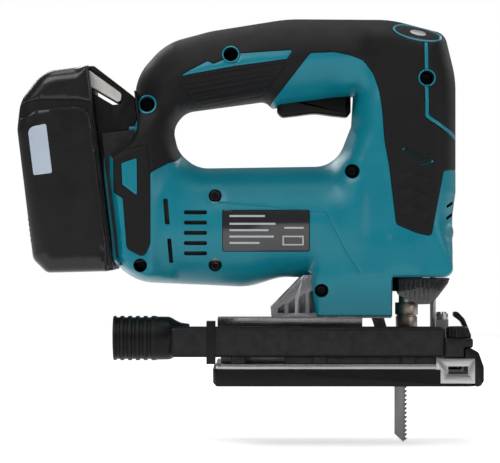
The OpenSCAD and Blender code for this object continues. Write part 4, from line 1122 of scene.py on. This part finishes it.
def build_battery(look):
    """Battery case, rail block, plain stripe and release button."""
    case = rounded(CASE)
    keep("battery_shell", build_battery_shell(case), ["battery_black", "deep_black"],
         "battery", ["battery_case"])
    keep("battery_rail_block", crisp("battery_rails", 0.5, 2), "satin_black", "battery",
         ["battery_rails"])
    stripe = Build()
    patch = rounded(STRIPE, 0.5)
    label = Sheet([(patch, (0.3, -0.3, 0.7, -0.7))], (), 1.6)
    height, _ = battery_half(label.points, case)
    rise = 0.14 * round_in(distance(label.points, patch) / 0.4)
    stripe.area([on_rails((p[0], -h - r, p[1])) for p, h, r in zip(label.points, height, rise)],
                label.triangles[inside(label.centres, patch)])
    keep("battery_stripe", stripe.mesh_plain("battery_stripe"), "stripe_blue", "battery",
         ["battery_label"])
    button = Build()
    button.slab(rounded(BUTTON, 0.4), -BUTTON_HALF, BUTTON_HALF, 0.9, place=on_rails)
    keep("release_button", button, "button_silver", "battery_release", ["battery_button"])


def dress_inner_works(look):
    """The CAD nodes that stay in sight get the finish of their slot."""
    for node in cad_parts.values():
        if node.hide_render:
            continue
        for entry in node.material_slots:
            base = entry.material.name.split(".")[0] if entry.material else ""
            entry.material = FINISHES[SLOT_FINISH.get(base, "ground_steel")]


def lay_floor(look):
    """A round pale floor just under the blade."""
    build = Build()
    rows = [[(r * math.cos(w), r * math.sin(w), FLOOR) for w in np.arange(48) * math.pi / 24]
            for r in (1, 150, 400, 900, 1600)]
    build.loops(rows, (True, False))
    mesh = build.mesh("studio_floor")
    floor = bpy.data.objects.new("studio_floor", mesh)
    bpy.context.scene.collection.objects.link(floor)
    glow = (("Emission Color", (1, 1, 1, 1)), ("Emission Strength", look.paper_glow))
    mesh.materials.append(finish("studio_paper", (0.88, 0.88, 0.88), 0.8, tone=0.02, wear=0.0, depth=0.01,
                                 sockets=glow))


def fill_air(look):
    """Even room light, with plain white behind the tool."""
    world = bpy.data.worlds.new("studio_air")
    world.use_nodes = True
    tree = world.node_tree
    node, link = tree.nodes.new, tree.links.new
    air, seen = tree.nodes["Background"], node("ShaderNodeBackground")
    path, level = node("ShaderNodeLightPath"), node("ShaderNodeMixShader")
    air.inputs["Color"].default_value = (0.95, 0.97, 1, 1)
    air.inputs["Strength"].default_value = look.air_light
    seen.inputs["Color"].default_value = (1, 1, 1, 1)
    link(path.outputs["Is Camera Ray"], level.inputs["Fac"])
    link(air.outputs["Background"], level.inputs[1])
    link(seen.outputs["Background"], level.inputs[2])
    link(level.outputs["Shader"], tree.nodes["World Output"].inputs["Surface"])
    bpy.context.scene.world = world
    bpy.context.scene.view_settings.view_transform = "Standard"


# Softboxes, in metres: name, place, width, share of the key light's power
SOFTBOXES = (("key_softbox", (-0.55, -0.8, 1.0), 0.7, 1.0), ("fill_softbox", (1.0, -0.7, 0.35), 0.6, 0.35),
             ("top_softbox", (0.0, 0.15, 1.3), 0.9, 0.9), ("back_softbox", (-0.75, 1.2, 1.0), 0.7, 0.9),
             ("side_softbox", (0.9, 1.1, 0.8), 0.6, 0.5))
# The softboxes' target, and the camera's place and lens, in metres
AIM = (-0.05, 0, 0.09)
VIEW_FROM = (-0.0554, -1.5, 0.0874)
VIEW_WIDTH = 0.289
SENSOR = 36


def build_stage(look):
    """Floor, room light, softboxes and camera."""
    lay_floor(look)
    fill_air(look)
    for name, place, width, share in SOFTBOXES:
        data = bpy.data.lights.new(name, "AREA")
        data.size = width
        data.energy = look.key_light * share
        lamp = bpy.data.objects.new(name, data)
        bpy.context.scene.collection.objects.link(lamp)
        lamp.location = place
        lamp.rotation_euler = (Vector(AIM) - Vector(place)).to_track_quat("-Z", "Y").to_euler()
    data = bpy.data.cameras.new("front_camera")
    data.sensor_width = SENSOR
    data.lens = SENSOR * -VIEW_FROM[1] / VIEW_WIDTH
    camera = bpy.data.objects.new("front_camera", data)
    bpy.context.scene.collection.objects.link(camera)
    camera.location = VIEW_FROM
    camera.rotation_euler = (math.pi / 2, 0, 0)
    bpy.context.scene.camera = camera


# ---- settings, operators and panel ----
def number(name, words, default, low, high, kind="NONE"):
    """A setting that is one number."""
    return bpy.props.FloatProperty(name=name, description=words, default=default, min=low, max=high,
                                   subtype=kind)


def tint(name, words, default):
    """A setting that is a colour."""
    return bpy.props.FloatVectorProperty(name=name, description=words, subtype="COLOR", size=3,
                                         default=default, min=0, max=1)


class JigsawLook(bpy.types.PropertyGroup):
    """Sizes and colours of the visible pieces."""

    grip_proud: number("Grip rise", "Soft grip above the shell, mm", 0.6, 0.2, 1.2)
    rib_pitch: number("Rib pitch", "Spacing of the palm pad ribs, mm", 2.75, 1.8, 4)
    rib_depth: number("Rib depth", "Depth between the palm pad ribs, mm", 0.75, 0.2, 1.2)
    shell_colour: tint("Shell", "Hard shell colour", (0.001, 0.13, 0.175))
    grip_colour: tint("Grip", "Soft grip colour", (0.0065, 0.006, 0.0065))
    black_colour: tint("Black plastic", "Hard black plastic colour", (0.004, 0.004, 0.0043))
    metal_colour: tint("Sole metal", "Bright sheet colour", (0.34, 0.335, 0.33))
    button_colour: tint("Release button", "Battery button colour", (0.42, 0.41, 0.38))
    key_light: number("Key light", "Power of the main softbox", 10, 1, 200, "POWER")
    paper_glow: number("Paper glow", "How white the floor stays in shade", 0.45, 0, 2)
    air_light: number("Room light", "Strength of the even room light", 0.2, 0, 3)


PIECES = (("housing", "Housing", "Both halves of the shell with their soft grips", build_housing),
          ("rating", "Rating plate", "The plain plate on the barrel", build_plate),
          ("screws", "Case screws", "The screws that hold the halves together", build_screws),
          ("badge", "Badge", "The oval badge on the head", build_badge),
          ("front", "Front parts", "Lamp, wire guard, opener, chip cover and lock button", build_front),
          ("controls", "Controls", "Trigger and orbit lever", build_controls),
          ("drive", "Drive parts", "Gear casting, blade clamp, blade and roller", build_drive),
          ("base", "Base", "Sole, skid, bevel arch and clamps", build_base),
          ("nozzle", "Nozzle", "Suction duct with its hose cuff and knob", build_nozzle),
          ("battery", "Battery", "Battery case, rails, stripe and release button", build_battery),
          ("works", "Inner works", "Finishes of the parts inside", dress_inner_works),
          ("stage", "Stage", "Floor, lights and camera", build_stage))


def operator_for(key, label, words, build):
    """One operator that builds one group of pieces."""

    def execute(self, context):
        finishes(context.scene.jigsaw_look)
        build(context.scene.jigsaw_look)
        return {"FINISHED"}

    return type("JIGSAW_OT_" + key, (bpy.types.Operator,), {
        "__doc__": words, "bl_idname": "jigsaw." + key, "bl_label": label, "bl_options": {"REGISTER", "UNDO"},
        "execute": execute})


OPERATORS = [operator_for(*row) for row in PIECES]


class JIGSAW_PT_panel(bpy.types.Panel):
    """Sizes, colours and build steps of the jigsaw."""

    bl_label = "Jigsaw"
    bl_idname = "JIGSAW_PT_panel"
    bl_space_type = "VIEW_3D"
    bl_region_type = "UI"
    bl_category = "Jigsaw"

    def draw(self, context):
        look = context.scene.jigsaw_look
        for label in JigsawLook.__annotations__:
            self.layout.prop(look, label)
        for operator in OPERATORS:
            self.layout.operator(operator.bl_idname)


def register():
    """Makes the settings, operators and panel known to Blender."""
    for cls in [JigsawLook] + OPERATORS + [JIGSAW_PT_panel]:
        bpy.utils.register_class(cls)
    bpy.types.Scene.jigsaw_look = bpy.props.PointerProperty(type=JigsawLook)


def unregister():
    """Takes them away again."""
    del bpy.types.Scene.jigsaw_look
    for cls in reversed([JigsawLook] + OPERATORS + [JIGSAW_PT_panel]):
        bpy.utils.unregister_class(cls)


def main():
    """Runs every operator and writes both boxes."""
    register()
    for operator in OPERATORS:
        group, name = operator.bl_idname.split(".")
        getattr(getattr(bpy.ops, group), name)()


if __name__ == "__main__":
    main()
